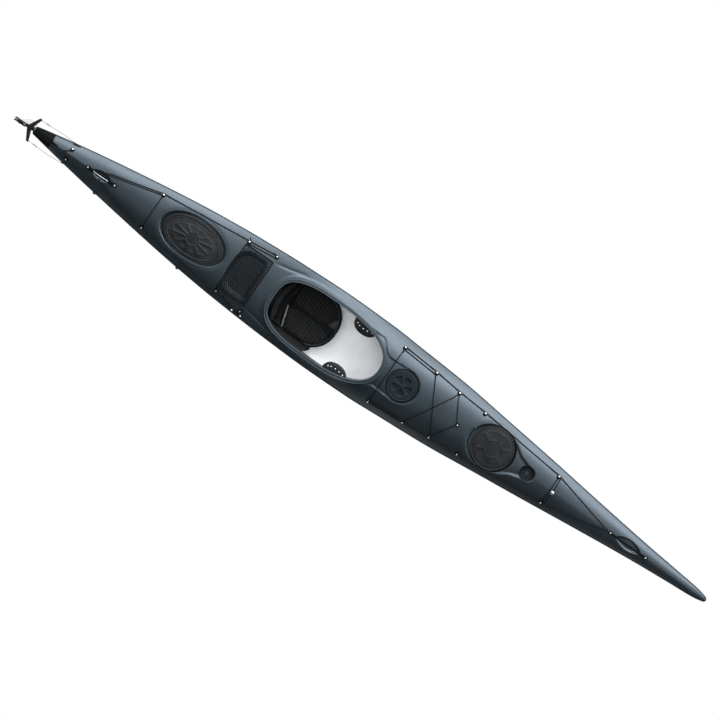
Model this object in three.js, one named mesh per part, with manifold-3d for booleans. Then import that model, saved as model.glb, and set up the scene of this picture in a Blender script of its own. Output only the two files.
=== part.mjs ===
// Sea kayak with cockpit, three hatches, deck lines, net pocket and lifting rudder.
// Millimetres. +X to the bow, +Y to port, +Z up. Origin on the flat of the keel, amidships.
import * as THREE from "three";
import { mergeVertices } from "three/addons/utils/BufferGeometryUtils.js";
import Module from "manifold-3d";

const wasm = await Module();
wasm.setup();

// Hull and deck
const HULL_LENGTH = 5200;
const HULL_BEAM = 554;
const BOW_HEIGHT = 400;
const FOREDECK_CROWN = 0.27 * BOW_HEIGHT;
const HULL_WALL = 5;
const KEEL_FLAT_WIDTH = 110;
const GAP = 0.3;
const OVERRUN = 20;
const SEAM_WIDTH = 2;
const SEAM_DEPTH = 14;

// Places along, across and up the boat keep their share of its length, beam and height
const HALF_LENGTH = HULL_LENGTH / 2;
const alongBoat = HULL_LENGTH / 5200;
const acrossBoat = HULL_BEAM / 554;
const upBoat = BOW_HEIGHT / 400;

// Cockpit
const COCKPIT_LENGTH = 812;
const COCKPIT_WIDTH = 394;
const COCKPIT_CENTRE_X = -340 * alongBoat;
const COAMING_WALL = 5;
const COAMING_LIP = 24;
const COAMING_LIP_DROP = 9;
const COAMING_AFT_HEIGHT = 276 * upBoat;
const COAMING_FRONT_HEIGHT = 348 * upBoat;
const COAMING_DEPTH = 18;

// Hatches
const REAR_HATCH_LENGTH = 432;
const REAR_HATCH_WIDTH = 248;
const REAR_HATCH_X = -1382 * alongBoat;
const REAR_RECESS_MARGIN = 22;
const REAR_RECESS_FLOOR = 262 * upBoat;
const FRONT_HATCH_DIAMETER = 285;
const FRONT_HATCH_X = 952 * alongBoat;
const FRONT_RECESS_MARGIN = 12;
const FRONT_RECESS_FLOOR = 270 * upBoat;
const HATCH_RIM_WALL = 6;
const HATCH_RIM_HEIGHT = 12;
const HATCH_SKIRT = 5;
const HATCH_LEDGE = 14;
const HATCH_DOME = 14;
const HATCH_RIB = 2.5;
const POD_HATCH_X = 248 * alongBoat;
const POD_HATCH_DIAMETER = 196;
const POD_RECESS_DIAMETER = 216;
const POD_RECESS_FLOOR = 300 * upBoat;
const POD_RING_WALL = 12;
const POD_RING_HEIGHT = 12;
const POD_COVER_THICKNESS = 9;
const POD_SEAL_THICKNESS = 3;
const POD_WELL_DEPTH = 120;
const POD_WELL_WALL = 3;
const STAR_RECESS_RADIUS = 24;
const STAR_RECESS_DEPTH = 4;

// Compass recess
const COMPASS_X = 1218 * alongBoat;
const COMPASS_DIAMETER = 96;
const COMPASS_DEPTH = 26;

// Net pocket
const NET_X = -978 * alongBoat;
const NET_LENGTH = 214;
const NET_WIDTH = 340;
const NET_CORD = 3;
const NET_ROWS = 7;
const NET_COLUMNS = 13;
const NET_RECESS_DEPTH = 22;
const NET_RECESS_MARGIN = 14;

// Seat, back band and braces
const SEAT_LENGTH = 372;
const SEAT_WIDTH = 372;
const SEAT_X = COCKPIT_CENTRE_X - COCKPIT_LENGTH / 2 + 272;
const SEAT_BASE = 12;
const SEAT_HEIGHT = 88;
const SEAT_WALL = 6;
const PAD_THICKNESS = 34;
const PAD_CROWN = 9;
const PAD_CHANNELS = 14;
const PAD_CHANNEL_DEPTH = 3;
const BAND_WIDTH = 300;
const BAND_THICKNESS = 34;
const BAND_BOW = 34;
const BAND_PIN_RADIUS = 5;
const BAND_AXIS_X = COCKPIT_CENTRE_X - COCKPIT_LENGTH / 2 + 42;
const BAND_AXIS_Z = 114;
const BAND_CLEARANCE = 30;
const BAND_TOP = COAMING_AFT_HEIGHT - COAMING_DEPTH - BAND_CLEARANCE;
const EAR_Y = 150;
const EAR_HALF = 18;
const BRACE_LENGTH = 182;
const BRACE_REACH = 66;
const BRACE_THICKNESS = 10;

// Foot rails
const RAIL_LENGTH = 400;
const RAIL_X = 240 * alongBoat;
const RAIL_Z = 118 * upBoat;
const RAIL_HEIGHT = 30;
const RAIL_THICKNESS = 12;
const PEDAL_HEIGHT = 150;
const PEDAL_WIDTH = 70;
const PEDAL_THICKNESS = 16;
const PEDAL_TRAVEL = 54;

// Rudder
const RUDDER_AXIS_X = -HALF_LENGTH - 26;
const RUDDER_PLATE_Z = 360 * upBoat;
const RUDDER_PLATE_THICKNESS = 5;
const YOKE_REACH = 76;
const YOKE_ROOT = 30;
const YOKE_TIP = 18;
const YOKE_SWEEP = 34;
const RUDDER_PIN_RADIUS = 5;
const BRACKET_HEIGHT = 52;
const BRACKET_WIDTH = 24;
const CHEEK_LENGTH = 76;
const CHEEK_HEIGHT = 52;
const CHEEK_THICKNESS = 6;
const BLADE_THICKNESS = 8;
const BLADE_AXIS_X = RUDDER_AXIS_X - 66;
const BLADE_AXIS_Z = RUDDER_PLATE_Z + 34;
const BLADE_LENGTH = 370;
const BLADE_CHORD = 82;
const BLADE_NECK = 40;
const BLADE_NECK_LENGTH = 104;
const BLADE_BOLT_RADIUS = 5;
const CHOCK_LENGTH = 176;
const CHOCK_HEIGHT = 10;
const CHOCK_SLOT = 16;

// Fittings and cords
const FITTING_RADIUS = 14;
const FITTING_BASE = 3;
const FITTING_POST = 5;
const FITTING_CAP_RADIUS = 10;
const FITTING_CAP = 3;
const FITTING_BOLT_RADIUS = 6;
const FITTING_GROOVE = 10;
const LINE_DIAMETER = 6;
const BUNGEE_DIAMETER = 6;
const RUDDER_LINE_DIAMETER = 3;
const HANDLE_LENGTH = 270;
const HANDLE_WIDTH = 20;
const HANDLE_THICKNESS = 7;
const HANDLE_RISE = 24;
const BOW_HANDLE_X = 2002 * alongBoat;
const STERN_HANDLE_X = -2081 * alongBoat;
const STERN_HANDLE_LENGTH = 204;
const HANDLE_RECESS_WIDTH = 56;
const HANDLE_RECESS_DEPTH = 16;

// Bulkheads
const BULKHEAD_THICKNESS = 8;
const FRONT_BULKHEAD_X = RAIL_X + RAIL_LENGTH / 2 + RAIL_HEIGHT;
const REAR_BULKHEAD_X = COCKPIT_CENTRE_X - COCKPIT_LENGTH / 2 - 69;

// Places of the deck fittings along the hull and out from the centreline
const FITTING_PLACES = [
  { name: "stern", x: -2327, y: 34 },
  { name: "rear_aft", x: -1691, y: 122 },
  { name: "net_aft", x: -1074, y: 186 },
  { name: "net_fore", x: -874, y: 208 },
  { name: "bungee_aft", x: 128, y: 205 },
  { name: "bungee_mid", x: 384, y: 188 },
  { name: "bungee_fore", x: 577, y: 168 },
  { name: "hatch_side", x: 785, y: 154 },
  { name: "fore", x: 1398, y: 96 },
].map(({ name, x, y }) => ({ name, x: x * alongBoat, y: y * acrossBoat }));
const CENTRE_FITTING_X = 680 * alongBoat;

// Stations of the hull, as shares: along the length, then beam, sheer, keel, crown
const stationShares = [
  [0, 0.09, 0.85, 0.4, 0.12],
  [0.02, 0.165, 0.81, 0.31, 0.28],
  [0.073, 0.343, 0.73, 0.15, 0.4],
  [0.147, 0.558, 0.645, 0.05, 0.49],
  [0.22, 0.744, 0.59, 0.01, 0.53],
  [0.25, 0.805, 0.575, 0, 0.52],
  [0.293, 0.878, 0.56, 0, 0.48],
  [0.367, 0.962, 0.54, 0, 0.42],
  [0.44, 1, 0.535, 0, 0.72],
  [0.5, 0.985, 0.54, 0, 0.98],
  [0.538, 0.943, 0.545, 0, 1],
  [0.61, 0.857, 0.565, 0, 0.84],
  [0.684, 0.709, 0.6, 0, 0.68],
  [0.75, 0.575, 0.645, 0, 0.6],
  [0.831, 0.397, 0.725, 0.03, 0.46],
  [0.904, 0.247, 0.81, 0.11, 0.32],
  [0.953, 0.165, 0.88, 0.26, 0.22],
  [0.985, 0.11, 0.945, 0.5, 0.12],
  [1, 0.05, 0.97, 0.74, 0.05],
];
const BODY_STATIONS = 26;
const HULL_STEPS = 5;
const DECK_STEPS = 6;

// Monotone curve through the values of one column of the stations
function stationValue(share, column) {
  const rows = stationShares;
  let k = 0;
  while (k < rows.length - 2 && rows[k + 1][0] < share) k += 1;
  const slope = (i) => (rows[i + 1][column] - rows[i][column]) / (rows[i + 1][0] - rows[i][0]);
  const tangent = (i) => {
    if (i === 0) return slope(0);
    if (i === rows.length - 1) return slope(i - 1);
    const before = slope(i - 1);
    const after = slope(i);
    return before * after <= 0 ? 0 : (2 * before * after) / (before + after);
  };
  const span = rows[k + 1][0] - rows[k][0];
  const t = Math.min(1, Math.max(0, (share - rows[k][0]) / span));
  const t2 = t * t;
  const t3 = t2 * t;
  return (
    (2 * t3 - 3 * t2 + 1) * rows[k][column] +
    (t3 - 2 * t2 + t) * span * tangent(k) +
    (3 * t2 - 2 * t3) * rows[k + 1][column] +
    (t3 - t2) * span * tangent(k + 1)
  );
}

const shareAt = (x) => (x + HALF_LENGTH) / HULL_LENGTH;
const halfBeam = (x) => (HULL_BEAM / 2) * stationValue(shareAt(x), 1);
const sheerZ = (x) => BOW_HEIGHT * stationValue(shareAt(x), 2);
const keelZ = (x) => BOW_HEIGHT * stationValue(shareAt(x), 3);
const crownRise = (x) => FOREDECK_CROWN * stationValue(shareAt(x), 4);
const fullness = (x) => stationValue(shareAt(x), 1);

// Height of the deck over the sheer, from 1 on the centreline to 0 at the edge
function deckProfile(x, edgeShare) {
  const roundPower = 2.5;
  const ridgePower = 1.25;
  const ridge = 0.3 * THREE.MathUtils.smoothstep(shareAt(x), 0.6, 0.8);
  const round = 1 - edgeShare ** roundPower;
  return (1 - ridge) * round + ridge * (1 - edgeShare ** ridgePower);
}

function deckZ(x, y) {
  const edgeShare = Math.min(1, Math.abs(y) / halfBeam(x));
  return sheerZ(x) + crownRise(x) * deckProfile(x, edgeShare);
}

function deckNormal(x, y) {
  const step = HULL_WALL;
  const dx = (deckZ(x + step, y) - deckZ(x - step, y)) / (2 * step);
  const dy = (deckZ(x, y + step) - deckZ(x, y - step)) / (2 * step);
  return new THREE.Vector3(-dx, -dy, 1).normalize();
}

// Half width of the hull under the sheer, at a height
function hullHalfWidth(x, z) {
  const flat = (KEEL_FLAT_WIDTH / 2) * fullness(x);
  const rise = THREE.MathUtils.clamp((z - keelZ(x)) / (sheerZ(x) - keelZ(x)), 0, 1);
  const power = hullPower(x);
  return flat + (halfBeam(x) - flat) * (1 - (1 - rise) ** power) ** (1 / power);
}

const hullPower = (x) => 1.45 + 1.15 * fullness(x);

// Turns a closed mesh into a solid that can be joined and cut
function solid(geometry) {
  const plain = geometry.clone();
  plain.deleteAttribute("normal");
  plain.deleteAttribute("uv");
  const merged = mergeVertices(plain, 1e-3);
  const vertProperties = new Float32Array(merged.attributes.position.array);
  const triVerts = new Uint32Array(merged.index.array);
  return new wasm.Manifold(new wasm.Mesh({ numProp: 3, vertProperties, triVerts }));
}

function geometryOf(manifold) {
  const mesh = manifold.getMesh();
  const geometry = new THREE.BufferGeometry();
  geometry.setAttribute("position", new THREE.BufferAttribute(mesh.vertProperties, 3));
  geometry.setIndex(new THREE.BufferAttribute(mesh.triVerts, 1));
  return geometry;
}

// Skin over rings of points with the same count, closed at both ends or joined end to end
function loft(rings, joined = false) {
  const count = rings[0].length;
  const positions = rings.flat().flatMap((p) => [p.x, p.y, p.z]);
  const index = [];
  const last = joined ? rings.length : rings.length - 1;
  for (let i = 0; i < last; i += 1) {
    const next = (i + 1) % rings.length;
    for (let j = 0; j < count; j += 1) {
      const k = (j + 1) % count;
      const [a, b] = [i * count + j, i * count + k];
      const [c, d] = [next * count + j, next * count + k];
      index.push(a, b, d, a, d, c);
    }
  }
  if (!joined) {
    for (const [ring, flipped] of [[0, true], [rings.length - 1, false]]) {
      const centre = new THREE.Vector3();
      rings[ring].forEach((p) => centre.addScaledVector(p, 1 / count));
      const middle = positions.length / 3;
      positions.push(centre.x, centre.y, centre.z);
      for (let j = 0; j < count; j += 1) {
        const [a, b] = [ring * count + j, ring * count + ((j + 1) % count)];
        index.push(middle, flipped ? b : a, flipped ? a : b);
      }
    }
  }
  const geometry = new THREE.BufferGeometry();
  geometry.setAttribute("position", new THREE.Float32BufferAttribute(positions, 3));
  geometry.setIndex(index);
  return outward(geometry);
}

// Turns all faces outwards when the enclosed volume comes out negative
function outward(geometry) {
  const p = geometry.attributes.position;
  const index = geometry.index.array;
  const corner = [0, 1, 2].map(() => new THREE.Vector3());
  let volume = 0;
  for (let i = 0; i < index.length; i += 3) {
    corner.forEach((v, k) => v.fromBufferAttribute(p, index[i + k]));
    volume += corner[0].dot(corner[1].clone().cross(corner[2]));
  }
  if (volume < 0) {
    for (let i = 0; i < index.length; i += 3) {
      [index[i + 1], index[i + 2]] = [index[i + 2], index[i + 1]];
    }
  }
  return geometry;
}

function prism(points, bottom, top) {
  const shape = new THREE.Shape(points.map((p) => new THREE.Vector2(p.x, p.y)));
  const geometry = new THREE.ExtrudeGeometry(shape, { depth: top - bottom, bevelEnabled: false, steps: 1 });
  return geometry.translate(0, 0, bottom);
}

// Tube along a smooth curve through the points
function tube(points, diameter, sides, stepLength, closed = false) {
  const curve = new THREE.CatmullRomCurve3(points, closed, "centripetal");
  const circle = new THREE.Shape();
  for (let i = 0; i < sides; i += 1) {
    const angle = (2 * Math.PI * i) / sides;
    const [px, py] = [(diameter / 2) * Math.cos(angle), (diameter / 2) * Math.sin(angle)];
    if (i === 0) circle.moveTo(px, py);
    else circle.lineTo(px, py);
  }
  const steps = Math.max(2, Math.round(curve.getLength() / stepLength));
  return new THREE.ExtrudeGeometry(circle, { steps, extrudePath: curve, bevelEnabled: false });
}

// Closed outline, round or squared by its power, longer fore and aft by its own lengths
function roundOutline(centreX, aft, fore, halfWidth, aftPower, forePower, count) {
  const points = [];
  for (let i = 0; i < count; i += 1) {
    const angle = (2 * Math.PI * i) / count;
    const [c, s] = [Math.cos(angle), Math.sin(angle)];
    const power = c < 0 ? aftPower : forePower;
    const reach = c < 0 ? aft : fore;
    points.push(new THREE.Vector2(
      centreX + Math.sign(c) * reach * Math.abs(c) ** (2 / power),
      Math.sign(s) * halfWidth * Math.abs(s) ** (2 / power),
    ));
  }
  return points;
}

// The same outline moved outwards along its own normals
function grown(points, distance) {
  return points.map((p, i) => {
    const before = points[(i + points.length - 1) % points.length];
    const after = points[(i + 1) % points.length];
    const along = after.clone().sub(before).normalize();
    return new THREE.Vector2(p.x + along.y * distance, p.y - along.x * distance);
  });
}

// Ring of one section of the hull and deck at x, drawn in by an inset
function bodyRing(x, inset) {
  const half = halfBeam(x) - inset;
  const flat = Math.min((KEEL_FLAT_WIDTH / 2) * fullness(x), half / 2);
  const [low, mid] = [keelZ(x) + inset, sheerZ(x)];
  const power = hullPower(x);
  const side = [];
  for (let i = 0; i <= HULL_STEPS; i += 1) {
    const angle = (Math.PI / 2) * (i / HULL_STEPS);
    const y = flat + (half - flat) * Math.sin(angle) ** (2 / power);
    const z = low + (mid - low) * (1 - Math.cos(angle) ** (2 / power));
    side.push(new THREE.Vector3(x, y, z));
  }
  for (let i = 1; i <= DECK_STEPS; i += 1) {
    const edgeShare = Math.cos((Math.PI / 2) * (i / DECK_STEPS));
    const rise = Math.max(crownRise(x) - inset, inset) * deckProfile(x, edgeShare);
    side.push(new THREE.Vector3(x, half * edgeShare, mid + rise));
  }
  const mirrored = side.slice(0, -1).reverse().map((p) => new THREE.Vector3(p.x, -p.y, p.z));
  return [...side, ...mirrored];
}

const END_STEP = 60;
const END_INSET = 2 * END_STEP;

// Evenly spaced stations with closer ones at both ends; the inside uses the same ones
function bodyStations(endInset) {
  const stations = [];
  for (let i = 0; i <= BODY_STATIONS; i += 1) {
    stations.push(-HALF_LENGTH + HULL_LENGTH * (i / BODY_STATIONS));
  }
  for (const inset of [END_STEP, END_INSET]) stations.push(inset - HALF_LENGTH, HALF_LENGTH - inset);
  stations.sort((a, b) => a - b);
  return stations.filter((x) => Math.abs(x) <= HALF_LENGTH - endInset + GAP);
}

function bodySolid(inset, endInset) {
  return solid(loft(bodyStations(endInset).map((x) => bodyRing(x, inset))));
}

// Block over or under the sheer, used to part the hull from the deck
function sheerBlock(above, clearance) {
  const wide = HULL_BEAM;
  const beyond = HALF_LENGTH + OVERRUN;
  const rings = [-beyond, ...bodyStations(0), beyond].map((x) => {
    const middle = sheerZ(THREE.MathUtils.clamp(x, -HALF_LENGTH, HALF_LENGTH));
    const near = middle + (above ? clearance : -clearance);
    const far = above ? 2 * BOW_HEIGHT : -OVERRUN;
    return [
      new THREE.Vector3(x, -wide, near),
      new THREE.Vector3(x, wide, near),
      new THREE.Vector3(x, wide, far),
      new THREE.Vector3(x, -wide, far),
    ];
  });
  return solid(loft(rings));
}

const model = new THREE.Group();

const FINISHES = {
  deck: { color: 0x3a434c, roughness: 0.42, metalness: 0 },
  hull: { color: 0x2c3238, roughness: 0.45, metalness: 0 },
  rubber: { color: 0x191a1b, roughness: 0.7, metalness: 0 },
  plastic: { color: 0x141516, roughness: 0.5, metalness: 0 },
  white: { color: 0xd9dcde, roughness: 0.5, metalness: 0 },
  fabric: { color: 0x17181a, roughness: 0.9, metalness: 0 },
  cord: { color: 0x131416, roughness: 0.85, metalness: 0 },
  line: { color: 0xb9b3a2, roughness: 0.6, metalness: 0 },
  steel: { color: 0xb8bcc0, roughness: 0.3, metalness: 1 },
  aluminium: { color: 0x8d9296, roughness: 0.4, metalness: 1 },
};

function place(name, shape, finish) {
  const geometry = shape.isBufferGeometry ? shape : geometryOf(shape);
  const mesh = new THREE.Mesh(geometry, new THREE.MeshStandardMaterial({ ...FINISHES[finish] }));
  mesh.name = name;
  model.add(mesh);
  return mesh;
}

const SIDES = [["port", 1], ["starboard", -1]];
const ROUND_SIDES = 12;
const OUTLINE_POINTS = 24;

// Lathe of a closed profile of [radius, z], with its length along X stretched
function turned(profile, centreX, stretch = 1, segments = OUTLINE_POINTS) {
  const points = profile.map(([r, z]) => new THREE.Vector2(r, z));
  const geometry = new THREE.LatheGeometry(points, segments);
  geometry.rotateX(Math.PI / 2);
  geometry.scale(stretch, 1, 1);
  return outward(mergedPlain(geometry.translate(centreX, 0, 0)));
}

function mergedPlain(geometry) {
  geometry.deleteAttribute("normal");
  geometry.deleteAttribute("uv");
  return dropEmptyFaces(mergeVertices(geometry, 1e-3));
}

function dropEmptyFaces(geometry) {
  const kept = [];
  const index = geometry.index.array;
  for (let i = 0; i < index.length; i += 3) {
    const [a, b, c] = [index[i], index[i + 1], index[i + 2]];
    if (a !== b && b !== c && c !== a) kept.push(a, b, c);
  }
  geometry.setIndex(kept);
  return geometry;
}

function cylinder(radius, from, to, sides = ROUND_SIDES) {
  const length = from.distanceTo(to);
  const geometry = new THREE.CylinderGeometry(radius, radius, length, sides);
  geometry.applyQuaternion(new THREE.Quaternion().setFromUnitVectors(
    new THREE.Vector3(0, 1, 0), to.clone().sub(from).normalize(),
  ));
  const middle = from.clone().add(to).multiplyScalar(1 / 2);
  return solid(geometry.translate(middle.x, middle.y, middle.z));
}

function block(x0, x1, y0, y1, z0, z1) {
  const geometry = new THREE.BoxGeometry(x1 - x0, y1 - y0, z1 - z0);
  return solid(geometry.translate((x0 + x1) / 2, (y0 + y1) / 2, (z0 + z1) / 2));
}

const at = (x, y, z) => new THREE.Vector3(x, y, z);

// Recesses in the deck, each with its outline and the height of its floor
const ovalOutline = (x, length, width) =>
  roundOutline(x, length / 2, length / 2, width / 2, 2, 2, OUTLINE_POINTS);

const rearRecess = {
  outline: ovalOutline(
    REAR_HATCH_X, REAR_HATCH_LENGTH + 2 * REAR_RECESS_MARGIN, REAR_HATCH_WIDTH + 2 * REAR_RECESS_MARGIN,
  ),
  floor: REAR_RECESS_FLOOR,
};
const frontRecess = {
  outline: ovalOutline(
    FRONT_HATCH_X,
    FRONT_HATCH_DIAMETER + 2 * FRONT_RECESS_MARGIN,
    FRONT_HATCH_DIAMETER + 2 * FRONT_RECESS_MARGIN,
  ),
  floor: FRONT_RECESS_FLOOR,
};
const podRecess = {
  outline: ovalOutline(POD_HATCH_X, POD_RECESS_DIAMETER, POD_RECESS_DIAMETER),
  floor: POD_RECESS_FLOOR,
};
const compassRecess = {
  outline: ovalOutline(COMPASS_X, COMPASS_DIAMETER, COMPASS_DIAMETER),
  floor: deckZ(COMPASS_X, 0) - COMPASS_DEPTH,
};
const netRecess = {
  outline: roundOutline(
    NET_X, NET_LENGTH / 2 + NET_RECESS_MARGIN, NET_LENGTH / 2 - NET_RECESS_MARGIN,
    NET_WIDTH / 2 - NET_RECESS_MARGIN, 2.6, 7, OUTLINE_POINTS,
  ),
  floor: deckZ(NET_X, 0) - NET_RECESS_DEPTH,
};
const handleRecess = (x, length) => ({
  outline: roundOutline(
    x, length * 0.34, length * 0.34, HANDLE_RECESS_WIDTH / 2, 1.6, 1.6, OUTLINE_POINTS / 2,
  ),
  floor: deckZ(x, 0) - HANDLE_RECESS_DEPTH,
});
const bowHandleRecess = handleRecess(BOW_HANDLE_X, HANDLE_LENGTH);
const sternHandleRecess = handleRecess(STERN_HANDLE_X, STERN_HANDLE_LENGTH);

const recesses = [
  rearRecess, frontRecess, podRecess, compassRecess, netRecess, bowHandleRecess, sternHandleRecess,
];
const recessSolid = (recess, margin) =>
  solid(prism(grown(recess.outline, margin), recess.floor - margin, 2 * BOW_HEIGHT));

// Radii across the boat of a snap-on hatch, from its cover inwards
const hatchRadii = (width) => {
  const skirtInner = width / 2 - HATCH_SKIRT;
  const rimOuter = skirtInner - GAP;
  return { skirtInner, rimOuter, hole: rimOuter - HATCH_RIM_WALL };
};
const rearStretch = REAR_HATCH_LENGTH / REAR_HATCH_WIDTH;
const rearRadii = hatchRadii(REAR_HATCH_WIDTH);
const frontRadii = hatchRadii(FRONT_HATCH_DIAMETER);
const podHoleRadius = POD_HATCH_DIAMETER / 2 - POD_RING_WALL - GAP;

// Cockpit outline, squarer aft and rounded in front
const cockpitOutline = roundOutline(
  COCKPIT_CENTRE_X, COCKPIT_LENGTH / 2, COCKPIT_LENGTH / 2, COCKPIT_WIDTH / 2, 3.2, 2.35, 34,
);

function coamingZ(x) {
  const share = (x - COCKPIT_CENTRE_X + COCKPIT_LENGTH / 2) / COCKPIT_LENGTH;
  const sweepPower = 1.7;
  return COAMING_AFT_HEIGHT
    + (COAMING_FRONT_HEIGHT - COAMING_AFT_HEIGHT) * Math.max(0, share) ** sweepPower;
}

// Route of one rudder line, from the yoke through the deck and along the hull to its pedal
const RUDDER_LINE_Z = RUDDER_PLATE_Z - RUDDER_LINE_DIAMETER / 2 - GAP;
const LINE_CLEARANCE = 1.5;
const railOuter = hullHalfWidth(RAIL_X + RAIL_LENGTH / 2, RAIL_Z - RAIL_HEIGHT / 2) - HULL_WALL - LINE_CLEARANCE;
const pedalInner = railOuter - RAIL_THICKNESS - PEDAL_THICKNESS / 2;
const yokeTipX = RUDDER_AXIS_X + YOKE_SWEEP;
function rudderLineRoute(side) {
  const slack = side < 0 ? 9 : 1;
  const free = [
    [-2520, 78 + slack / 2, 345 - slack], [-2420, 80 + slack / 2, 330 - slack], [-2335, 76, 316],
    [-2300, 72, 307], [-2262, 67, 292], [-2180, 74, 262], [-1900, 100, 200], [-1400, 165, 150],
    [-830, 206, 122], [-400, 222, 118], [-100, 218, 118],
  ].map(([x, y, z]) => at(x * alongBoat, side * y * acrossBoat, z * upBoat));
  const straight = PEDAL_WIDTH / 2 + PEDAL_TRAVEL + RUDDER_LINE_DIAMETER;
  return [
    at(yokeTipX - YOKE_TIP / 8, side * YOKE_REACH, RUDDER_LINE_Z), ...free,
    ...[-3, -1, 1].map((share) => at(RAIL_X + share * straight, side * pedalInner, RAIL_Z)),
  ];
}

const LINE_PASSAGE = 4;
function rudderLine(side, extra) {
  return tube(rudderLineRoute(side), RUDDER_LINE_DIAMETER + extra, 8, 150);
}

// Hull and deck shells, parted at the sheer
const outerBody = bodySolid(0, 0);
const innerBody = bodySolid(HULL_WALL, END_INSET);
const linePassages = SIDES.map(([, side]) => solid(rudderLine(side, LINE_PASSAGE)));

function buildShells() {
  const hull = outerBody
    .intersect(sheerBlock(false, GAP / 2))
    .subtract(innerBody);
  let deckCavity = innerBody;
  for (const recess of recesses) deckCavity = deckCavity.subtract(recessSolid(recess, HULL_WALL));
  let deck = outerBody.intersect(sheerBlock(true, GAP / 2));
  for (const recess of recesses) deck = deck.subtract(recessSolid(recess, 0));
  deck = deck.subtract(deckCavity);
  const cockpitHole = grown(cockpitOutline, COAMING_WALL + GAP);
  deck = deck.subtract(solid(prism(cockpitHole, -OVERRUN, 2 * BOW_HEIGHT)));
  const holes = [
    [REAR_HATCH_X, rearRadii.hole, rearStretch],
    [FRONT_HATCH_X, frontRadii.hole, 1],
    [POD_HATCH_X, podHoleRadius, 1],
  ];
  for (const [x, radius, stretch] of holes) {
    deck = deck.subtract(solid(turned([[0, -OVERRUN], [radius, -OVERRUN], [radius, 2 * BOW_HEIGHT],
      [0, 2 * BOW_HEIGHT]], x, stretch)));
  }
  for (const passage of linePassages) deck = deck.subtract(passage);
  place("hull_shell", hull, "hull");
  place("deck_shell", deck, "deck");
}

// Strip over the joint of hull and deck, all round the plan outline
function buildSeamStrip() {
  const stations = bodyStations(0);
  const port = stations.map((x) => new THREE.Vector2(x, halfBeam(x)));
  const starboard = [...stations].reverse().map((x) => new THREE.Vector2(x, -halfBeam(x)));
  const outline = [...starboard, ...port];
  const inner = grown(outline, -GAP);
  const outer = grown(outline, -GAP - SEAM_WIDTH);
  const middle = (i) => sheerZ(THREE.MathUtils.clamp(outline[i].x, -HALF_LENGTH, HALF_LENGTH));
  const rings = outline.map((_, i) => [
    at(inner[i].x, inner[i].y, middle(i) - SEAM_DEPTH),
    at(outer[i].x, outer[i].y, middle(i) - SEAM_DEPTH),
    at(outer[i].x, outer[i].y, middle(i)),
    at(inner[i].x, inner[i].y, middle(i)),
  ]);
  place("seam_strip", loft(rings, true), "plastic");
}

// Coaming: an upright wall through the deck with a lip turned out and down
function buildCoaming() {
  const lines = [0, COAMING_WALL, COAMING_LIP - COAMING_WALL, COAMING_LIP].map((out) =>
    grown(cockpitOutline, out));
  const rings = cockpitOutline.map((p, i) => {
    const top = coamingZ(p.x);
    const wall = lines[1][i];
    const bottom = Math.min(deckZ(wall.x, wall.y) - COAMING_DEPTH, top - 2 * COAMING_LIP_DROP);
    const corner = (line, z) => at(lines[line][i].x, lines[line][i].y, z);
    return [
      corner(0, top), corner(3, top), corner(3, top - COAMING_LIP_DROP),
      corner(2, top - COAMING_LIP_DROP), corner(2, top - COAMING_WALL),
      corner(1, top - COAMING_WALL), corner(1, bottom), corner(0, bottom),
    ];
  });
  place("coaming", loft(rings, true), "deck");
}

// Snap-on hatch: a rim standing on the recess floor and a domed cover with two raised rings
function buildHatch(name, x, width, stretch, floor, radii) {
  const rimTop = floor + GAP + HATCH_RIM_HEIGHT;
  place(`${name}_rim`, turned([
    [radii.hole, floor + GAP], [radii.rimOuter, floor + GAP],
    [radii.rimOuter, rimTop], [radii.hole, rimTop], [radii.hole, floor + GAP],
  ], x, stretch), "plastic");
  const under = rimTop + GAP;
  const outer = width / 2;
  const edge = under + HATCH_SKIRT;
  const ringAt = (share) => {
    const [radius, z] = [outer * share, edge + HATCH_DOME * (1 - share * share)];
    return [[radius + HATCH_RIB * 2, z], [radius, z + HATCH_RIB], [radius - HATCH_RIB * 2, z]];
  };
  const top = (share) => [outer * share, edge + HATCH_DOME * (1 - share * share)];
  const dome = (share) => [outer * share, under + HATCH_DOME * (1 - share * share)];
  place(`${name}_cover`, turned([
    [0, dome(0)[1]], dome(0.5), [radii.hole, under], [radii.skirtInner, under],
    [radii.skirtInner, floor + GAP * 2], [outer, floor + GAP * 2], [outer, edge - HATCH_RIB],
    top(0.97), ...ringAt(0.8), ...ringAt(0.45), [0, top(0)[1]],
  ], x, stretch), "rubber");
}

// Round day hatch in front of the cockpit: well with its ring, seal, and a cover with five hollows
const podRingTop = POD_RECESS_FLOOR + GAP + POD_RING_HEIGHT;
const podSealTop = podRingTop + GAP + POD_SEAL_THICKNESS;
const podCoverTop = podSealTop + GAP + POD_COVER_THICKNESS;

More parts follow.
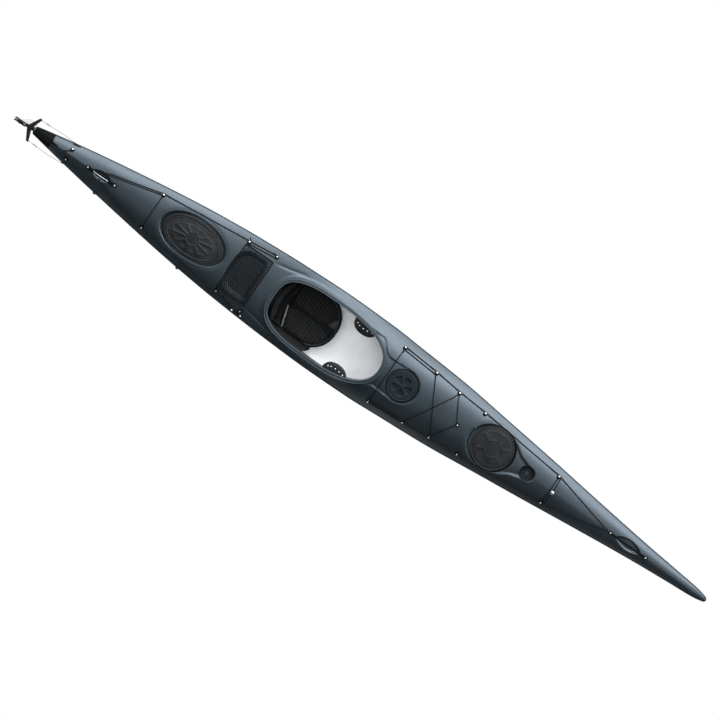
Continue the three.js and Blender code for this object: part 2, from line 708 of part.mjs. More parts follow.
function buildPodHatch() {
  const ringOuter = POD_HATCH_DIAMETER / 2;
  const ringInner = ringOuter - POD_RING_WALL;
  const wellOuter = podHoleRadius - GAP;
  const wellInner = wellOuter - POD_WELL_WALL;
  const wellFloor = POD_RECESS_FLOOR - POD_WELL_DEPTH;
  const ringFoot = POD_RECESS_FLOOR + GAP;
  place("pod_well", turned([
    [0, wellFloor], [wellOuter - POD_WELL_WALL * 3, wellFloor], [wellOuter, wellFloor + POD_WELL_WALL * 3],
    [wellOuter, ringFoot], [ringOuter, ringFoot], [ringOuter, podRingTop], [wellInner, podRingTop],
    [wellInner, wellFloor + POD_WELL_WALL * 4], [wellInner - POD_WELL_WALL * 3, wellFloor + POD_WELL_WALL],
    [0, wellFloor + POD_WELL_WALL],
  ], POD_HATCH_X), "plastic");
  place("pod_hatch_seal", turned([
    [ringInner, podRingTop + GAP], [ringOuter - GAP, podRingTop + GAP],
    [ringOuter - GAP, podSealTop], [ringInner, podSealTop], [ringInner, podRingTop + GAP],
  ], POD_HATCH_X), "rubber");
  const bevel = POD_COVER_THICKNESS / 3;
  let cover = solid(turned([
    [0, podSealTop + GAP], [ringOuter, podSealTop + GAP], [ringOuter, podCoverTop - bevel],
    [ringOuter - bevel, podCoverTop], [0, podCoverTop],
  ], POD_HATCH_X));
  for (let i = 0; i < 5; i += 1) {
    const angle = (2 * Math.PI * i) / 5;
    const reach = ringOuter / 2;
    const centre = new THREE.Vector2(POD_HATCH_X + reach * Math.cos(angle), reach * Math.sin(angle));
    const hollow = roundOutline(0, STAR_RECESS_RADIUS, STAR_RECESS_RADIUS, STAR_RECESS_RADIUS * 0.7, 2, 3, 16)
      .map((p) => p.rotateAround(new THREE.Vector2(), angle).add(centre));
    cover = cover.subtract(solid(prism(hollow, podCoverTop - STAR_RECESS_DEPTH, podCoverTop + OVERRUN)));
  }
  place("pod_hatch_cover", cover, "plastic");
}

// Space inside the shells, drawn in enough that what fills it clears their walls
const FIT_INSET = HULL_WALL + 2 * GAP;
const innerFit = bodySolid(FIT_INSET, END_INSET);

function buildBulkheads() {
  const half = BULKHEAD_THICKNESS / 2;
  const reach = HULL_BEAM;
  for (const [name, x] of [["front_bulkhead", FRONT_BULKHEAD_X], ["rear_bulkhead", REAR_BULKHEAD_X]]) {
    let wall = block(x - half, x + half, -reach, reach, -OVERRUN, 2 * BOW_HEIGHT).intersect(innerFit);
    for (const passage of linePassages) wall = wall.subtract(passage);
    place(name, wall, "plastic");
  }
}

// Seat pan shaped to the hull, with a hollow for its pad and two ears for the back band
const seatOutline = roundOutline(SEAT_X, SEAT_LENGTH / 2, SEAT_LENGTH / 2, SEAT_WIDTH / 2, 4, 2.2, OUTLINE_POINTS);
const PAD_FLOOR = 48;

function buildSeat() {
  let pan = solid(prism(seatOutline, SEAT_BASE, SEAT_HEIGHT));
  for (const [, side] of SIDES) {
    const y = side * EAR_Y;
    const earBack = BAND_AXIS_X - EAR_HALF;
    const earFront = SEAT_X - SEAT_LENGTH * 0.4;
    pan = pan.add(block(earBack, earFront, y - SEAT_WALL / 2, y + SEAT_WALL / 2, SEAT_BASE, BAND_AXIS_Z + EAR_HALF));
  }
  pan = pan.intersect(innerFit);
  pan = pan.subtract(solid(prism(grown(seatOutline, -SEAT_WALL), PAD_FLOOR, BOW_HEIGHT)));
  const pinFrom = at(BAND_AXIS_X, -EAR_Y - OVERRUN, BAND_AXIS_Z);
  const pinTo = at(BAND_AXIS_X, EAR_Y + OVERRUN, BAND_AXIS_Z);
  pan = pan.subtract(cylinder(BAND_PIN_RADIUS + GAP, pinFrom, pinTo));
  place("seat_pan", pan, "plastic");
  place("seat_pad", seatPad(), "fabric");

  const pinReach = EAR_Y + SEAT_WALL;
  place("back_band_pin", cylinder(
    BAND_PIN_RADIUS, at(BAND_AXIS_X, -pinReach, BAND_AXIS_Z), at(BAND_AXIS_X, pinReach, BAND_AXIS_Z),
  ), "steel");
  const plateBack = BAND_AXIS_X - 2 * EAR_HALF;
  const plateFront = plateBack + SEAT_WALL;
  let frame = block(plateBack, plateFront, -EAR_Y * 0.8, EAR_Y * 0.8, BAND_AXIS_Z - EAR_HALF / 2, BAND_TOP);
  for (const [, side] of SIDES) {
    const y = side * EAR_Y * 0.7;
    frame = frame.add(block(
      plateBack, BAND_AXIS_X + EAR_HALF / 2, y - SEAT_WALL / 2, y + SEAT_WALL / 2,
      BAND_AXIS_Z - EAR_HALF / 2, BAND_AXIS_Z + EAR_HALF / 2,
    ));
  }
  frame = frame.subtract(cylinder(BAND_PIN_RADIUS + GAP, pinFrom, pinTo));
  place("back_band_frame", frame, "plastic");
  place("back_band", backBand(plateFront + GAP), "fabric");
}

// Pad with a crown over each thigh and channels across it
function seatPad() {
  const edge = grown(seatOutline, -SEAT_WALL - GAP);
  const [aft, fore] = [Math.min(...edge.map((p) => p.x)), Math.max(...edge.map((p) => p.x))];
  const rowsPerChannel = 3;
  const rows = PAD_CHANNELS * rowsPerChannel;
  const columns = 8;
  const halfAt = (x) => {
    let widest = 0;
    for (let i = 0; i < edge.length; i += 1) {
      const [a, b] = [edge[i], edge[(i + 1) % edge.length]];
      if ((a.x - x) * (b.x - x) > 0 || a.x === b.x) continue;
      widest = Math.max(widest, Math.abs(a.y + ((b.y - a.y) * (x - a.x)) / (b.x - a.x)));
    }
    return widest;
  };
  const floor = PAD_FLOOR + GAP;
  const rings = [];
  const endMargin = 6;
  for (let i = 0; i <= rows; i += 1) {
    const x = aft + endMargin + (fore - aft - 2 * endMargin) * (i / rows);
    const half = halfAt(x) * 0.985;
    const along = i / rows;
    const ring = [at(x, -half, floor)];
    for (let j = 0; j <= columns; j += 1) {
      const across = (2 * j) / columns - 1;
      const swell = Math.sin(Math.PI * Math.min(1, Math.max(0, along))) ** 0.3;
      const sides = (1 - Math.abs(across) ** 5) * Math.abs(Math.sin(Math.PI * across)) ** 0.5;
      const groove = i % rowsPerChannel === 0 ? PAD_CHANNEL_DEPTH : 0;
      const height = PAD_THICKNESS - 2 * PAD_CROWN + swell * (PAD_CROWN + PAD_CROWN * sides) - groove;
      ring.push(at(x, half * across, floor + height));
    }
    ring.push(at(x, half, floor));
    rings.push(ring);
  }
  return loft(rings);
}

// Curved pad behind the paddler, its ends reaching forward
function backBand(backX) {
  const bottom = BAND_AXIS_Z + EAR_HALF;
  const height = BAND_TOP - bottom;
  const rings = [];
  const rows = 14;
  for (let i = 0; i <= rows; i += 1) {
    const across = (2 * i) / rows - 1;
    const y = (BAND_WIDTH / 2) * across;
    const shift = BAND_BOW * across * across;
    const fill = (1 - Math.abs(across) ** 4) ** 0.5 * 0.7 + 0.3;
    const middle = bottom + height / 2;
    const half = (height / 2) * (0.75 + 0.25 * fill);
    const ring = [];
    for (let j = 0; j < 12; j += 1) {
      const angle = (2 * Math.PI * j) / 12;
      const [c, s] = [Math.cos(angle), Math.sin(angle)];
      const x = backX + shift + (BAND_THICKNESS / 2) * (1 + Math.sign(c) * Math.abs(c) ** 0.6 * fill);
      ring.push(at(x, y, middle + half * Math.sign(s) * Math.abs(s) ** 0.6));
    }
    rings.push(ring);
  }
  return loft(rings);
}

// Braces under the coaming for the thighs, tilted with its sweep
function buildThighBraces() {
  const centreX = COCKPIT_CENTRE_X + COCKPIT_LENGTH * 0.234;
  const drop = COAMING_DEPTH + BRACE_THICKNESS * 0.6;
  const slope = Math.atan2(coamingZ(centreX + BRACE_LENGTH / 2) - coamingZ(centreX - BRACE_LENGTH / 2), BRACE_LENGTH);
  const room = solid(prism(grown(cockpitOutline, -GAP), -OVERRUN, 2 * BOW_HEIGHT));
  for (const [name, side] of SIDES) {
    const y = side * (COCKPIT_WIDTH / 2) * 0.95;
    const outline = ovalOutline(0, BRACE_LENGTH, 2 * BRACE_REACH);
    const plate = prism(outline, -BRACE_THICKNESS / 2, BRACE_THICKNESS / 2)
      .rotateY(-slope).translate(centreX, y, coamingZ(centreX) - drop);
    place(`thigh_brace_${name}`, solid(plate).intersect(room), "plastic");
  }
}

// Foot rails on blocks against the hull, each with a sliding steering pedal
function buildFootRails() {
  const [aft, fore] = [RAIL_X - RAIL_LENGTH / 2, RAIL_X + RAIL_LENGTH / 2];
  const [low, high] = [RAIL_Z - RAIL_HEIGHT / 2, RAIL_Z + RAIL_HEIGHT / 2];
  for (const [name, side] of SIDES) {
    const beam = (near, far) => (side > 0 ? [near, far] : [-far, -near]);
    let rail = block(aft, fore, ...beam(railOuter - RAIL_THICKNESS, railOuter), low, high);
    for (const x of [aft, fore - RAIL_HEIGHT]) {
      rail = rail.add(block(x, x + RAIL_HEIGHT, ...beam(railOuter - 1, HULL_BEAM), low, high));
    }
    place(`foot_rail_${name}`, rail.intersect(innerFit), "aluminium");
    const slider = railOuter - RAIL_THICKNESS - GAP;
    let pedal = block(RAIL_X - PEDAL_WIDTH / 2, RAIL_X + PEDAL_WIDTH / 2,
      ...beam(slider - PEDAL_THICKNESS, slider), low, high);
    pedal = pedal.add(block(RAIL_X - PEDAL_THICKNESS / 2, RAIL_X + PEDAL_THICKNESS / 2,
      ...beam(slider - PEDAL_WIDTH, slider - PEDAL_THICKNESS / 4),
      RAIL_Z - PEDAL_HEIGHT / 4, RAIL_Z + PEDAL_HEIGHT * 0.65));
    const bore = cylinder(RUDDER_LINE_DIAMETER / 2 + 2 * GAP,
      at(RAIL_X - PEDAL_WIDTH, side * pedalInner, RAIL_Z), at(RAIL_X + PEDAL_WIDTH, side * pedalInner, RAIL_Z));
    place(`foot_pedal_${name}`, pedal.subtract(bore), "plastic");
  }
}

// Rudder: bracket and pin on the stern, yoke with two cheeks, blade on its bolt
function buildRudder() {
  const sternFace = -HALF_LENGTH - SEAM_WIDTH;
  const axisFoot = at(RUDDER_AXIS_X, 0, RUDDER_PLATE_Z - BRACKET_HEIGHT);
  const axisTop = at(RUDDER_AXIS_X, 0, RUDDER_PLATE_Z + OVERRUN);
  const bore = cylinder(RUDDER_PIN_RADIUS + GAP, axisFoot, axisTop);
  const half = BRACKET_WIDTH / 2;
  const bracketAft = RUDDER_AXIS_X - half;
  const bracket = block(bracketAft, sternFace, -half, half,
    RUDDER_PLATE_Z - GAP - BRACKET_HEIGHT, RUDDER_PLATE_Z - GAP).subtract(bore);
  place("rudder_bracket", bracket, "aluminium");

  const plateTop = RUDDER_PLATE_Z + RUDDER_PLATE_THICKNESS;
  const outline = [
    [-YOKE_ROOT / 2, half], [YOKE_SWEEP - YOKE_TIP / 2, YOKE_REACH + YOKE_TIP / 2],
    [YOKE_SWEEP + YOKE_TIP / 2, YOKE_REACH + YOKE_TIP / 2], [YOKE_ROOT / 2, half * 0.6],
    [YOKE_ROOT / 2, -half * 0.6], [YOKE_SWEEP + YOKE_TIP / 2, -YOKE_REACH - YOKE_TIP / 2],
    [YOKE_SWEEP - YOKE_TIP / 2, -YOKE_REACH - YOKE_TIP / 2], [-YOKE_ROOT / 2, -half],
  ].map(([x, y]) => new THREE.Vector2(RUDDER_AXIS_X + x, y));
  let yoke = solid(prism(outline, RUDDER_PLATE_Z, plateTop));
  const slotHalf = BLADE_THICKNESS / 2 + GAP;
  const cheekOut = slotHalf + CHEEK_THICKNESS;
  const cheekFore = BLADE_AXIS_X + CHEEK_LENGTH / 2 + CHEEK_THICKNESS;
  const neckFore = RUDDER_AXIS_X - YOKE_ROOT / 3;
  yoke = yoke.add(block(cheekFore - CHEEK_THICKNESS * 1.5, neckFore, -cheekOut, cheekOut,
    RUDDER_PLATE_Z, BLADE_AXIS_Z - BLADE_NECK / 2 - 2));
  for (const [, side] of SIDES) {
    const [a, b] = [side * slotHalf, side * cheekOut];
    yoke = yoke.add(block(BLADE_AXIS_X - CHEEK_LENGTH / 2, cheekFore, Math.min(a, b), Math.max(a, b),
      BLADE_AXIS_Z - CHEEK_HEIGHT / 2, BLADE_AXIS_Z + CHEEK_HEIGHT / 2));
    const tip = at(yokeTipX, side * YOKE_REACH, RUDDER_PLATE_Z - OVERRUN);
    yoke = yoke.subtract(cylinder(RUDDER_LINE_DIAMETER / 2 + GAP, tip, tip.clone().setZ(plateTop + OVERRUN), 8));
  }
  const boltFrom = at(BLADE_AXIS_X, -cheekOut, BLADE_AXIS_Z);
  const boltTo = at(BLADE_AXIS_X, cheekOut, BLADE_AXIS_Z);
  const far = new THREE.Vector3(0, OVERRUN, 0);
  const boltBore = cylinder(BLADE_BOLT_RADIUS + GAP, boltFrom.clone().sub(far), boltTo.clone().add(far));
  place("rudder_yoke", yoke.subtract(bore).subtract(boltBore), "aluminium");

  const head = 3;
  const pinTop = plateTop + GAP;
  place("rudder_pivot_pin", cylinder(RUDDER_PIN_RADIUS, axisFoot.clone().setZ(axisFoot.z + 1), at(RUDDER_AXIS_X, 0, pinTop + head))
    .add(cylinder(RUDDER_PIN_RADIUS * 1.8, at(RUDDER_AXIS_X, 0, pinTop), at(RUDDER_AXIS_X, 0, pinTop + head))), "steel");
  const headAt = (side) => cylinder(BLADE_BOLT_RADIUS * 1.7,
    at(BLADE_AXIS_X, side * (cheekOut + GAP), BLADE_AXIS_Z),
    at(BLADE_AXIS_X, side * (cheekOut + GAP + BLADE_BOLT_RADIUS), BLADE_AXIS_Z));
  const reach = new THREE.Vector3(0, BLADE_BOLT_RADIUS, 0);
  place("blade_pivot_bolt", cylinder(BLADE_BOLT_RADIUS, boltFrom.clone().sub(reach), boltTo.clone().add(reach))
    .add(headAt(1)).add(headAt(-1)), "steel");
  place("rudder_blade", solid(bladeShape()).subtract(boltBore), "plastic");
}

// Blade outline in its own plane, hanging from its axis, with a straight trailing edge
function bladeShape() {
  const neck = BLADE_NECK / 2;
  const broad = BLADE_CHORD - neck;
  const shape = new THREE.Shape();
  shape.moveTo(neck, 0);
  shape.lineTo(neck, -BLADE_NECK_LENGTH * 0.8);
  shape.quadraticCurveTo(neck, -BLADE_NECK_LENGTH, broad * 0.8, -BLADE_NECK_LENGTH * 1.15);
  shape.quadraticCurveTo(broad, -BLADE_NECK_LENGTH * 1.3, broad, -BLADE_NECK_LENGTH * 1.7);
  shape.lineTo(broad * 0.75, -BLADE_LENGTH * 0.88);
  shape.quadraticCurveTo(broad * 0.6, -BLADE_LENGTH, neck * 0.3, -BLADE_LENGTH);
  shape.quadraticCurveTo(-neck * 0.7, -BLADE_LENGTH, -neck, -BLADE_LENGTH * 0.9);
  shape.lineTo(-neck, 0);
  shape.absarc(0, 0, neck, Math.PI, 0, true);
  const geometry = new THREE.ExtrudeGeometry(shape, { depth: BLADE_THICKNESS, bevelEnabled: false, curveSegments: 8 });
  geometry.translate(0, 0, -BLADE_THICKNESS / 2).rotateX(Math.PI / 2);
  return geometry.translate(BLADE_AXIS_X, 0, BLADE_AXIS_Z);
}

// Chock over the stern deck, with a groove that takes the raised blade
function buildChock() {
  const start = -HALF_LENGTH + CHOCK_HEIGHT;
  const rings = [];
  const rows = 6;
  for (let i = 0; i <= rows; i += 1) {
    const x = start + (CHOCK_LENGTH * i) / rows;
    const half = halfBeam(x) * 0.86;
    const slot = CHOCK_SLOT / 2;
    const thin = CHOCK_HEIGHT * 0.4;
    const outs = [-half, -half * 0.8, -half * 0.6, -slot, -slot * 0.7, slot * 0.7, slot, half * 0.6, half * 0.8, half];
    const lift = (y) => (Math.abs(y) < slot ? thin * 0.3 : thin);
    const over = outs.map((y) => at(x, y, deckZ(x, y) + 2 * GAP + lift(y)));
    const under = outs.map((y) => at(x, y, deckZ(x, y) - CHOCK_HEIGHT));
    rings.push([...over, ...under.reverse()]);
  }
  place("rudder_chock", solid(loft(rings)).subtract(bodySolid(-GAP, 0)), "plastic");
}

// Carry handle: a strap standing up between two bosses
function buildHandle(name, centreX, length) {
  const rows = 14;
  const half = length / 2;
  const boss = HANDLE_WIDTH * 0.6;
  const level = (x) => deckZ(x, 0) + 3 * GAP;
  const rings = [];
  for (let i = 0; i <= rows; i += 1) {
    const along = i / rows;
    const x = centreX - half + length * along;
    const rise = HANDLE_RISE * Math.sin(Math.PI * along) ** 0.7;
    const z = level(x) + rise;
    const w = HANDLE_WIDTH / 2;
    const t = HANDLE_THICKNESS;
    rings.push([at(x, -w, z), at(x, w, z), at(x, w * 0.7, z + t), at(x, -w * 0.7, z + t)]);
  }
  let handle = solid(loft(rings));
  for (const end of [-half, half]) {
    const x = centreX + end;
    handle = handle.add(cylinder(boss, at(x, 0, level(x) + GAP), at(x, 0, level(x) + HANDLE_THICKNESS * 1.6)));
  }
  place(name, handle, "plastic");
}

// Height of the flat faces of the deck at a place
const deckMesh = new THREE.Mesh(geometryOf(outerBody), new THREE.MeshBasicMaterial());
function facetZ(x, y) {
  const ray = new THREE.Raycaster(at(x, y, 2 * BOW_HEIGHT), at(0, 0, -1));
  return ray.intersectObject(deckMesh)[0].point.z;
}

function ringPoints(radius) {
  return [0, 1, 2, 3, 4, 5, 6, 7].map((i) => at(radius, 0, 0).applyAxisAngle(at(0, 0, 1), (i * Math.PI) / 4));
}

// Deck fitting: base, post, cap and bolt head, square to the deck
function buildFitting(name, x, y) {
  const capFoot = FITTING_BASE + FITTING_GROOVE;
  const capTop = capFoot + FITTING_CAP;
  const profile = [
    [0, 0], [FITTING_RADIUS, 0], [FITTING_RADIUS, FITTING_BASE], [FITTING_POST, FITTING_BASE],
    [FITTING_POST, capFoot], [FITTING_CAP_RADIUS, capFoot], [FITTING_CAP_RADIUS, capTop],
    [FITTING_BOLT_RADIUS, capTop + FITTING_CAP], [0, capTop + FITTING_CAP],
  ];
  const geometry = turned(profile, 0, 1, 6);
  const normal = deckNormal(x, y);
  const turn = new THREE.Quaternion().setFromUnitVectors(at(0, 0, 1), normal);
  geometry.applyQuaternion(turn);
  const foot = at(x, y, deckZ(x, y));
  const lifts = [foot, ...ringPoints(FITTING_RADIUS).map((p) => p.applyQuaternion(turn).add(foot))]
    .map((p) => (facetZ(p.x, p.y) - p.z) * normal.z);
  foot.addScaledVector(normal, Math.max(...lifts) + 2 * GAP);
  place(`deck_fitting_${name}`, geometry.translate(foot.x, foot.y, foot.z), "plastic");
}

// A point over the deck, as high above it as a cord's middle, pushed sideways from a fitting
const CORD_CLEARANCE = 0.8;
function onDeck(x, y, diameter, raised = 0) {
  const foot = at(x, y, deckZ(x, y));
  return foot.addScaledVector(deckNormal(x, y), diameter / 2 + CORD_CLEARANCE + raised);
}

const fittingAt = (name) => FITTING_PLACES.find((place) => place.name === name);
const beside = FITTING_POST + LINE_DIAMETER / 2 + GAP * 2;
const besideHeight = FITTING_BASE + 5 * GAP;

// Points from one fitting to the next, along the deck
function deckRun(from, to, diameter, count, bump = 0) {
  const points = [];
  for (let i = 0; i <= count; i += 1) {
    const t = i / count;
    const x = from.x + (to.x - from.x) * t;
    const y = from.y + (to.y - from.y) * t;
    const near = Math.abs(2 * t - 1) ** 4;
    const over = bump * Math.max(0, 1 - Math.abs(t - 0.5) * 6);
    points.push(onDeck(x, y, diameter, besideHeight * near + over));
  }
  return points;
}

function runThrough(places, diameter, spacing, bumps = {}) {
  const points = [];
  for (let i = 0; i < places.length - 1; i += 1) {
    const distance = Math.hypot(places[i + 1].x - places[i].x, places[i + 1].y - places[i].y);
    const run = deckRun(places[i], places[i + 1], diameter, Math.max(2, Math.round(distance / spacing)), bumps[i]);
    points.push(...(i === 0 ? run : run.slice(1)));
  }
  return points;
}

const outboard = (name, side) => ({ x: fittingAt(name).x, y: side * (fittingAt(name).y + beside) });
const inboard = (name, side) => ({ x: fittingAt(name).x, y: side * (fittingAt(name).y - beside) });

function buildCords() {
  const bowEnd = BOW_HANDLE_X - HANDLE_LENGTH / 2 - HANDLE_WIDTH;
  const frontSide = ["bungee_aft", "bungee_mid", "bungee_fore", "hatch_side", "fore"];
  const front = [
    ...frontSide.map((name) => outboard(name, 1)), { x: bowEnd, y: 0 },
    ...[...frontSide].reverse().map((name) => outboard(name, -1)),
  ];
  place("front_deck_line", tube(runThrough(front, LINE_DIAMETER, 90), LINE_DIAMETER, 8, 60), "cord");
  const sternEnd = STERN_HANDLE_X + STERN_HANDLE_LENGTH / 2 + HANDLE_WIDTH;
  const rearSide = ["net_fore", "net_aft", "rear_aft"];
  const rear = [
    ...rearSide.map((name) => outboard(name, 1)), { x: sternEnd, y: 0 },
    ...[...rearSide].reverse().map((name) => outboard(name, -1)),
  ];
  place("rear_deck_line", tube(runThrough(rear, LINE_DIAMETER, 90), LINE_DIAMETER, 8, 60), "cord");
  const lift = BUNGEE_DIAMETER + 2 * CORD_CLEARANCE;
  const centre = { x: CENTRE_FITTING_X - beside, y: 0 };
  const laced = [
    inboard("bungee_aft", 1), inboard("bungee_aft", -1), inboard("bungee_mid", -1),
    inboard("bungee_fore", 1), centre, inboard("bungee_fore", -1), inboard("bungee_mid", 1),
  ];
  const shifted = laced.map((p, i) => ({ x: p.x + (i === 3 || i === 5 ? -2 : 0), y: p.y }));
  place("front_bungee", tube(
    runThrough(shifted, BUNGEE_DIAMETER, 45, { 5: lift * 1.6 }), BUNGEE_DIAMETER, 8, 34,
  ), "cord");
  const across = (name) => [1, -1].map((side) => inboard(name, side));
  place("fore_cross_bungee", tube(runThrough(across("fore"), BUNGEE_DIAMETER, 40), BUNGEE_DIAMETER, 8, 24), "cord");
  place("rear_cross_bungee", tube(runThrough(across("rear_aft"), BUNGEE_DIAMETER, 40), BUNGEE_DIAMETER, 8, 24), "cord");
  const [first, last] = across("stern").map((p) => ({ x: p.x - beside * 0.4, y: p.y * 0.93 }));
  const dip = { x: first.x - 34, y: 0 };
  place("stern_bungee", tube(runThrough([first, dip, last], BUNGEE_DIAMETER, 11), BUNGEE_DIAMETER, 8, 12), "cord");
}

// Net of cord laid over the deck hollow, one sheet with square gaps between its strands
function strandEdges(length, gaps) {
  const cell = (length - NET_CORD) / gaps;
  const edges = [];
  for (let i = 0; i <= gaps; i += 1) {
    const start = -length / 2 + i * cell;
    edges.push(start, start + NET_CORD);
  }
  return edges;
}

function buildNet() {
  const xs = strandEdges(NET_LENGTH, NET_ROWS);
  const ys = strandEdges(NET_WIDTH, NET_COLUMNS);
  const positions = [];
  for (const lift of [0, NET_CORD]) {
    for (const dx of xs) {
      for (const y of ys) {
        const x = NET_X + dx;
        positions.push(x, y, deckZ(x, y) + CORD_CLEARANCE + lift);
      }
    }
  }
  const corner = (level, i, j) => (level * xs.length + i) * ys.length + j;
  const isStrand = (i, j) => {
    const inside = i >= 0 && j >= 0 && i < xs.length - 1 && j < ys.length - 1;
    return inside && (i % 2 === 0 || j % 2 === 0);
  };
  const index = [];
  const quad = (a, b, c, d) => index.push(a, b, c, a, c, d);
  for (let i = 0; i < xs.length - 1; i += 1) {
    for (let j = 0; j < ys.length - 1; j += 1) {
      if (!isStrand(i, j)) continue;
      quad(corner(1, i, j), corner(1, i + 1, j), corner(1, i + 1, j + 1), corner(1, i, j + 1));
      quad(corner(0, i, j), corner(0, i, j + 1), corner(0, i + 1, j + 1), corner(0, i + 1, j));
      const sides = [
        [0, -1, i, j, i + 1, j], [1, 0, i + 1, j, i + 1, j + 1],
        [0, 1, i + 1, j + 1, i, j + 1], [-1, 0, i, j + 1, i, j],
      ];
      for (const [di, dj, i0, j0, i1, j1] of sides) {
        if (isStrand(i + di, j + dj)) continue;
        quad(corner(0, i0, j0), corner(0, i1, j1), corner(1, i1, j1), corner(1, i0, j0));
      }
    }
  }
  const geometry = new THREE.BufferGeometry();
  geometry.setAttribute("position", new THREE.Float32BufferAttribute(positions, 3));
  geometry.setIndex(index);
  place("net_pocket", outward(geometry), "cord");
}

buildShells();
buildSeamStrip();
buildCoaming();
buildHatch("rear_hatch", REAR_HATCH_X, REAR_HATCH_WIDTH, rearStretch, REAR_RECESS_FLOOR, rearRadii);
buildHatch("front_hatch", FRONT_HATCH_X, FRONT_HATCH_DIAMETER, 1, FRONT_RECESS_FLOOR, frontRadii);
buildPodHatch();
buildBulkheads();
buildSeat();
buildThighBraces();
buildFootRails();
buildRudder();
buildChock();
buildHandle("bow_handle", BOW_HANDLE_X, HANDLE_LENGTH);
buildHandle("stern_handle", STERN_HANDLE_X, STERN_HANDLE_LENGTH);
for (const { name, x, y } of FITTING_PLACES) {
  for (const [sideName, side] of SIDES) buildFitting(`${name}_${sideName}`, x, side * y);
}
buildFitting("centre", CENTRE_FITTING_X, 0);
buildCords();
buildNet();
for (const [name, side] of SIDES) place(`rudder_line_${name}`, rudderLine(side, 0), "line");

export default model;
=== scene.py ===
"""Sea kayak: fine surfaces, cords, soft parts and finishes around the construction model."""
from contextlib import contextmanager
import math

import bmesh
import bpy
import numpy as np
from mathutils import Matrix, Vector


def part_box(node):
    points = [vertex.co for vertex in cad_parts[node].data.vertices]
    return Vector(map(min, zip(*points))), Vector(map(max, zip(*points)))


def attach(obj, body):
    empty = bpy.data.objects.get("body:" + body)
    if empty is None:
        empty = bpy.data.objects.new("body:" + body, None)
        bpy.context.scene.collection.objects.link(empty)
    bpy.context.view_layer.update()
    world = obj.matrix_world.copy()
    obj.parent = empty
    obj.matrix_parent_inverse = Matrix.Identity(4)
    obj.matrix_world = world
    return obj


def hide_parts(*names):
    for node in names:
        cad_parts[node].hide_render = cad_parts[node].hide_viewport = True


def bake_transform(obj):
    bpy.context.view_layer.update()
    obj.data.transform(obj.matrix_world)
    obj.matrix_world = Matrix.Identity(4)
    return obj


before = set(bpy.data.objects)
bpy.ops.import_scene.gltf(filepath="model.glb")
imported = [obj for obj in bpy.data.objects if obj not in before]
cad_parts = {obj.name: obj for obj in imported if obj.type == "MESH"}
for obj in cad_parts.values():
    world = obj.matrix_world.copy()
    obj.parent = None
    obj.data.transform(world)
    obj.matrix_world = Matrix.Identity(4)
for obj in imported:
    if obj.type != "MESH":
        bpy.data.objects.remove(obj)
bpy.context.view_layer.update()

bl_info = {
    "name": "Sea kayak",
    "version": (1, 0, 0),
    "blender": (4, 5, 0),
    "location": "View3D > Sidebar > Kayak",
    "description": "Builds a decked sea kayak with hatches, deck lines, seat and rudder",
    "category": "Object",
}

HULL_LENGTH = 5.2
HALF_LENGTH = HULL_LENGTH / 2
HULL_BEAM = 0.554
BOW_HEIGHT = 0.4
FOREDECK_CROWN = 0.108
KEEL_FLAT_WIDTH = 0.11
SIDES = (("port", 1), ("starboard", -1))

# Along the length, then beam, sheer, keel and crown, all as shares
STATION_SHARES = np.array([
    [0, 0.09, 0.85, 0.4, 0.12],
    [0.02, 0.165, 0.81, 0.31, 0.28],
    [0.073, 0.343, 0.73, 0.15, 0.4],
    [0.147, 0.558, 0.645, 0.05, 0.49],
    [0.22, 0.744, 0.59, 0.01, 0.53],
    [0.25, 0.805, 0.575, 0, 0.52],
    [0.293, 0.878, 0.56, 0, 0.48],
    [0.367, 0.962, 0.54, 0, 0.42],
    [0.44, 1, 0.535, 0, 0.72],
    [0.5, 0.985, 0.54, 0, 0.98],
    [0.538, 0.943, 0.545, 0, 1],
    [0.61, 0.857, 0.565, 0, 0.84],
    [0.684, 0.709, 0.6, 0, 0.68],
    [0.75, 0.575, 0.645, 0, 0.6],
    [0.831, 0.397, 0.725, 0.03, 0.46],
    [0.904, 0.247, 0.81, 0.11, 0.32],
    [0.953, 0.165, 0.88, 0.26, 0.22],
    [0.985, 0.11, 0.945, 0.5, 0.12],
    [1, 0.05, 0.97, 0.74, 0.05],
])


# Form of the hull

def station(share, column):
    """Smooth value of one column of the stations, never beyond its neighbours."""
    share = np.atleast_1d(np.asarray(share, float))
    at, values = STATION_SHARES[:, 0], STATION_SHARES[:, column]
    slopes = np.diff(values) / np.diff(at)
    before, after = slopes[:-1], slopes[1:]
    both = before * after
    inner = np.where(both > 0, 2 * both / np.where(both > 0, before + after, 1), 0)
    tangents = np.concatenate([[slopes[0]], inner, [slopes[-1]]])
    k = np.clip(np.searchsorted(at, share) - 1, 0, len(at) - 2)
    span = at[k + 1] - at[k]
    t = np.clip((share - at[k]) / span, 0, 1)
    t2, t3 = t * t, t * t * t
    return ((2 * t3 - 3 * t2 + 1) * values[k] + (t3 - 2 * t2 + t) * span * tangents[k]
            + (3 * t2 - 2 * t3) * values[k + 1] + (t3 - t2) * span * tangents[k + 1])


def share_at(x):
    return (np.asarray(x, float) + HALF_LENGTH) / HULL_LENGTH


def half_beam(x):
    return HULL_BEAM / 2 * station(share_at(x), 1)


def sheer_z(x):
    return BOW_HEIGHT * station(share_at(x), 2)


def keel_z(x):
    return BOW_HEIGHT * station(share_at(x), 3)


def smooth(edge0, edge1, value):
    t = np.clip((value - edge0) / (edge1 - edge0), 0, 1)
    return t * t * (3 - 2 * t)


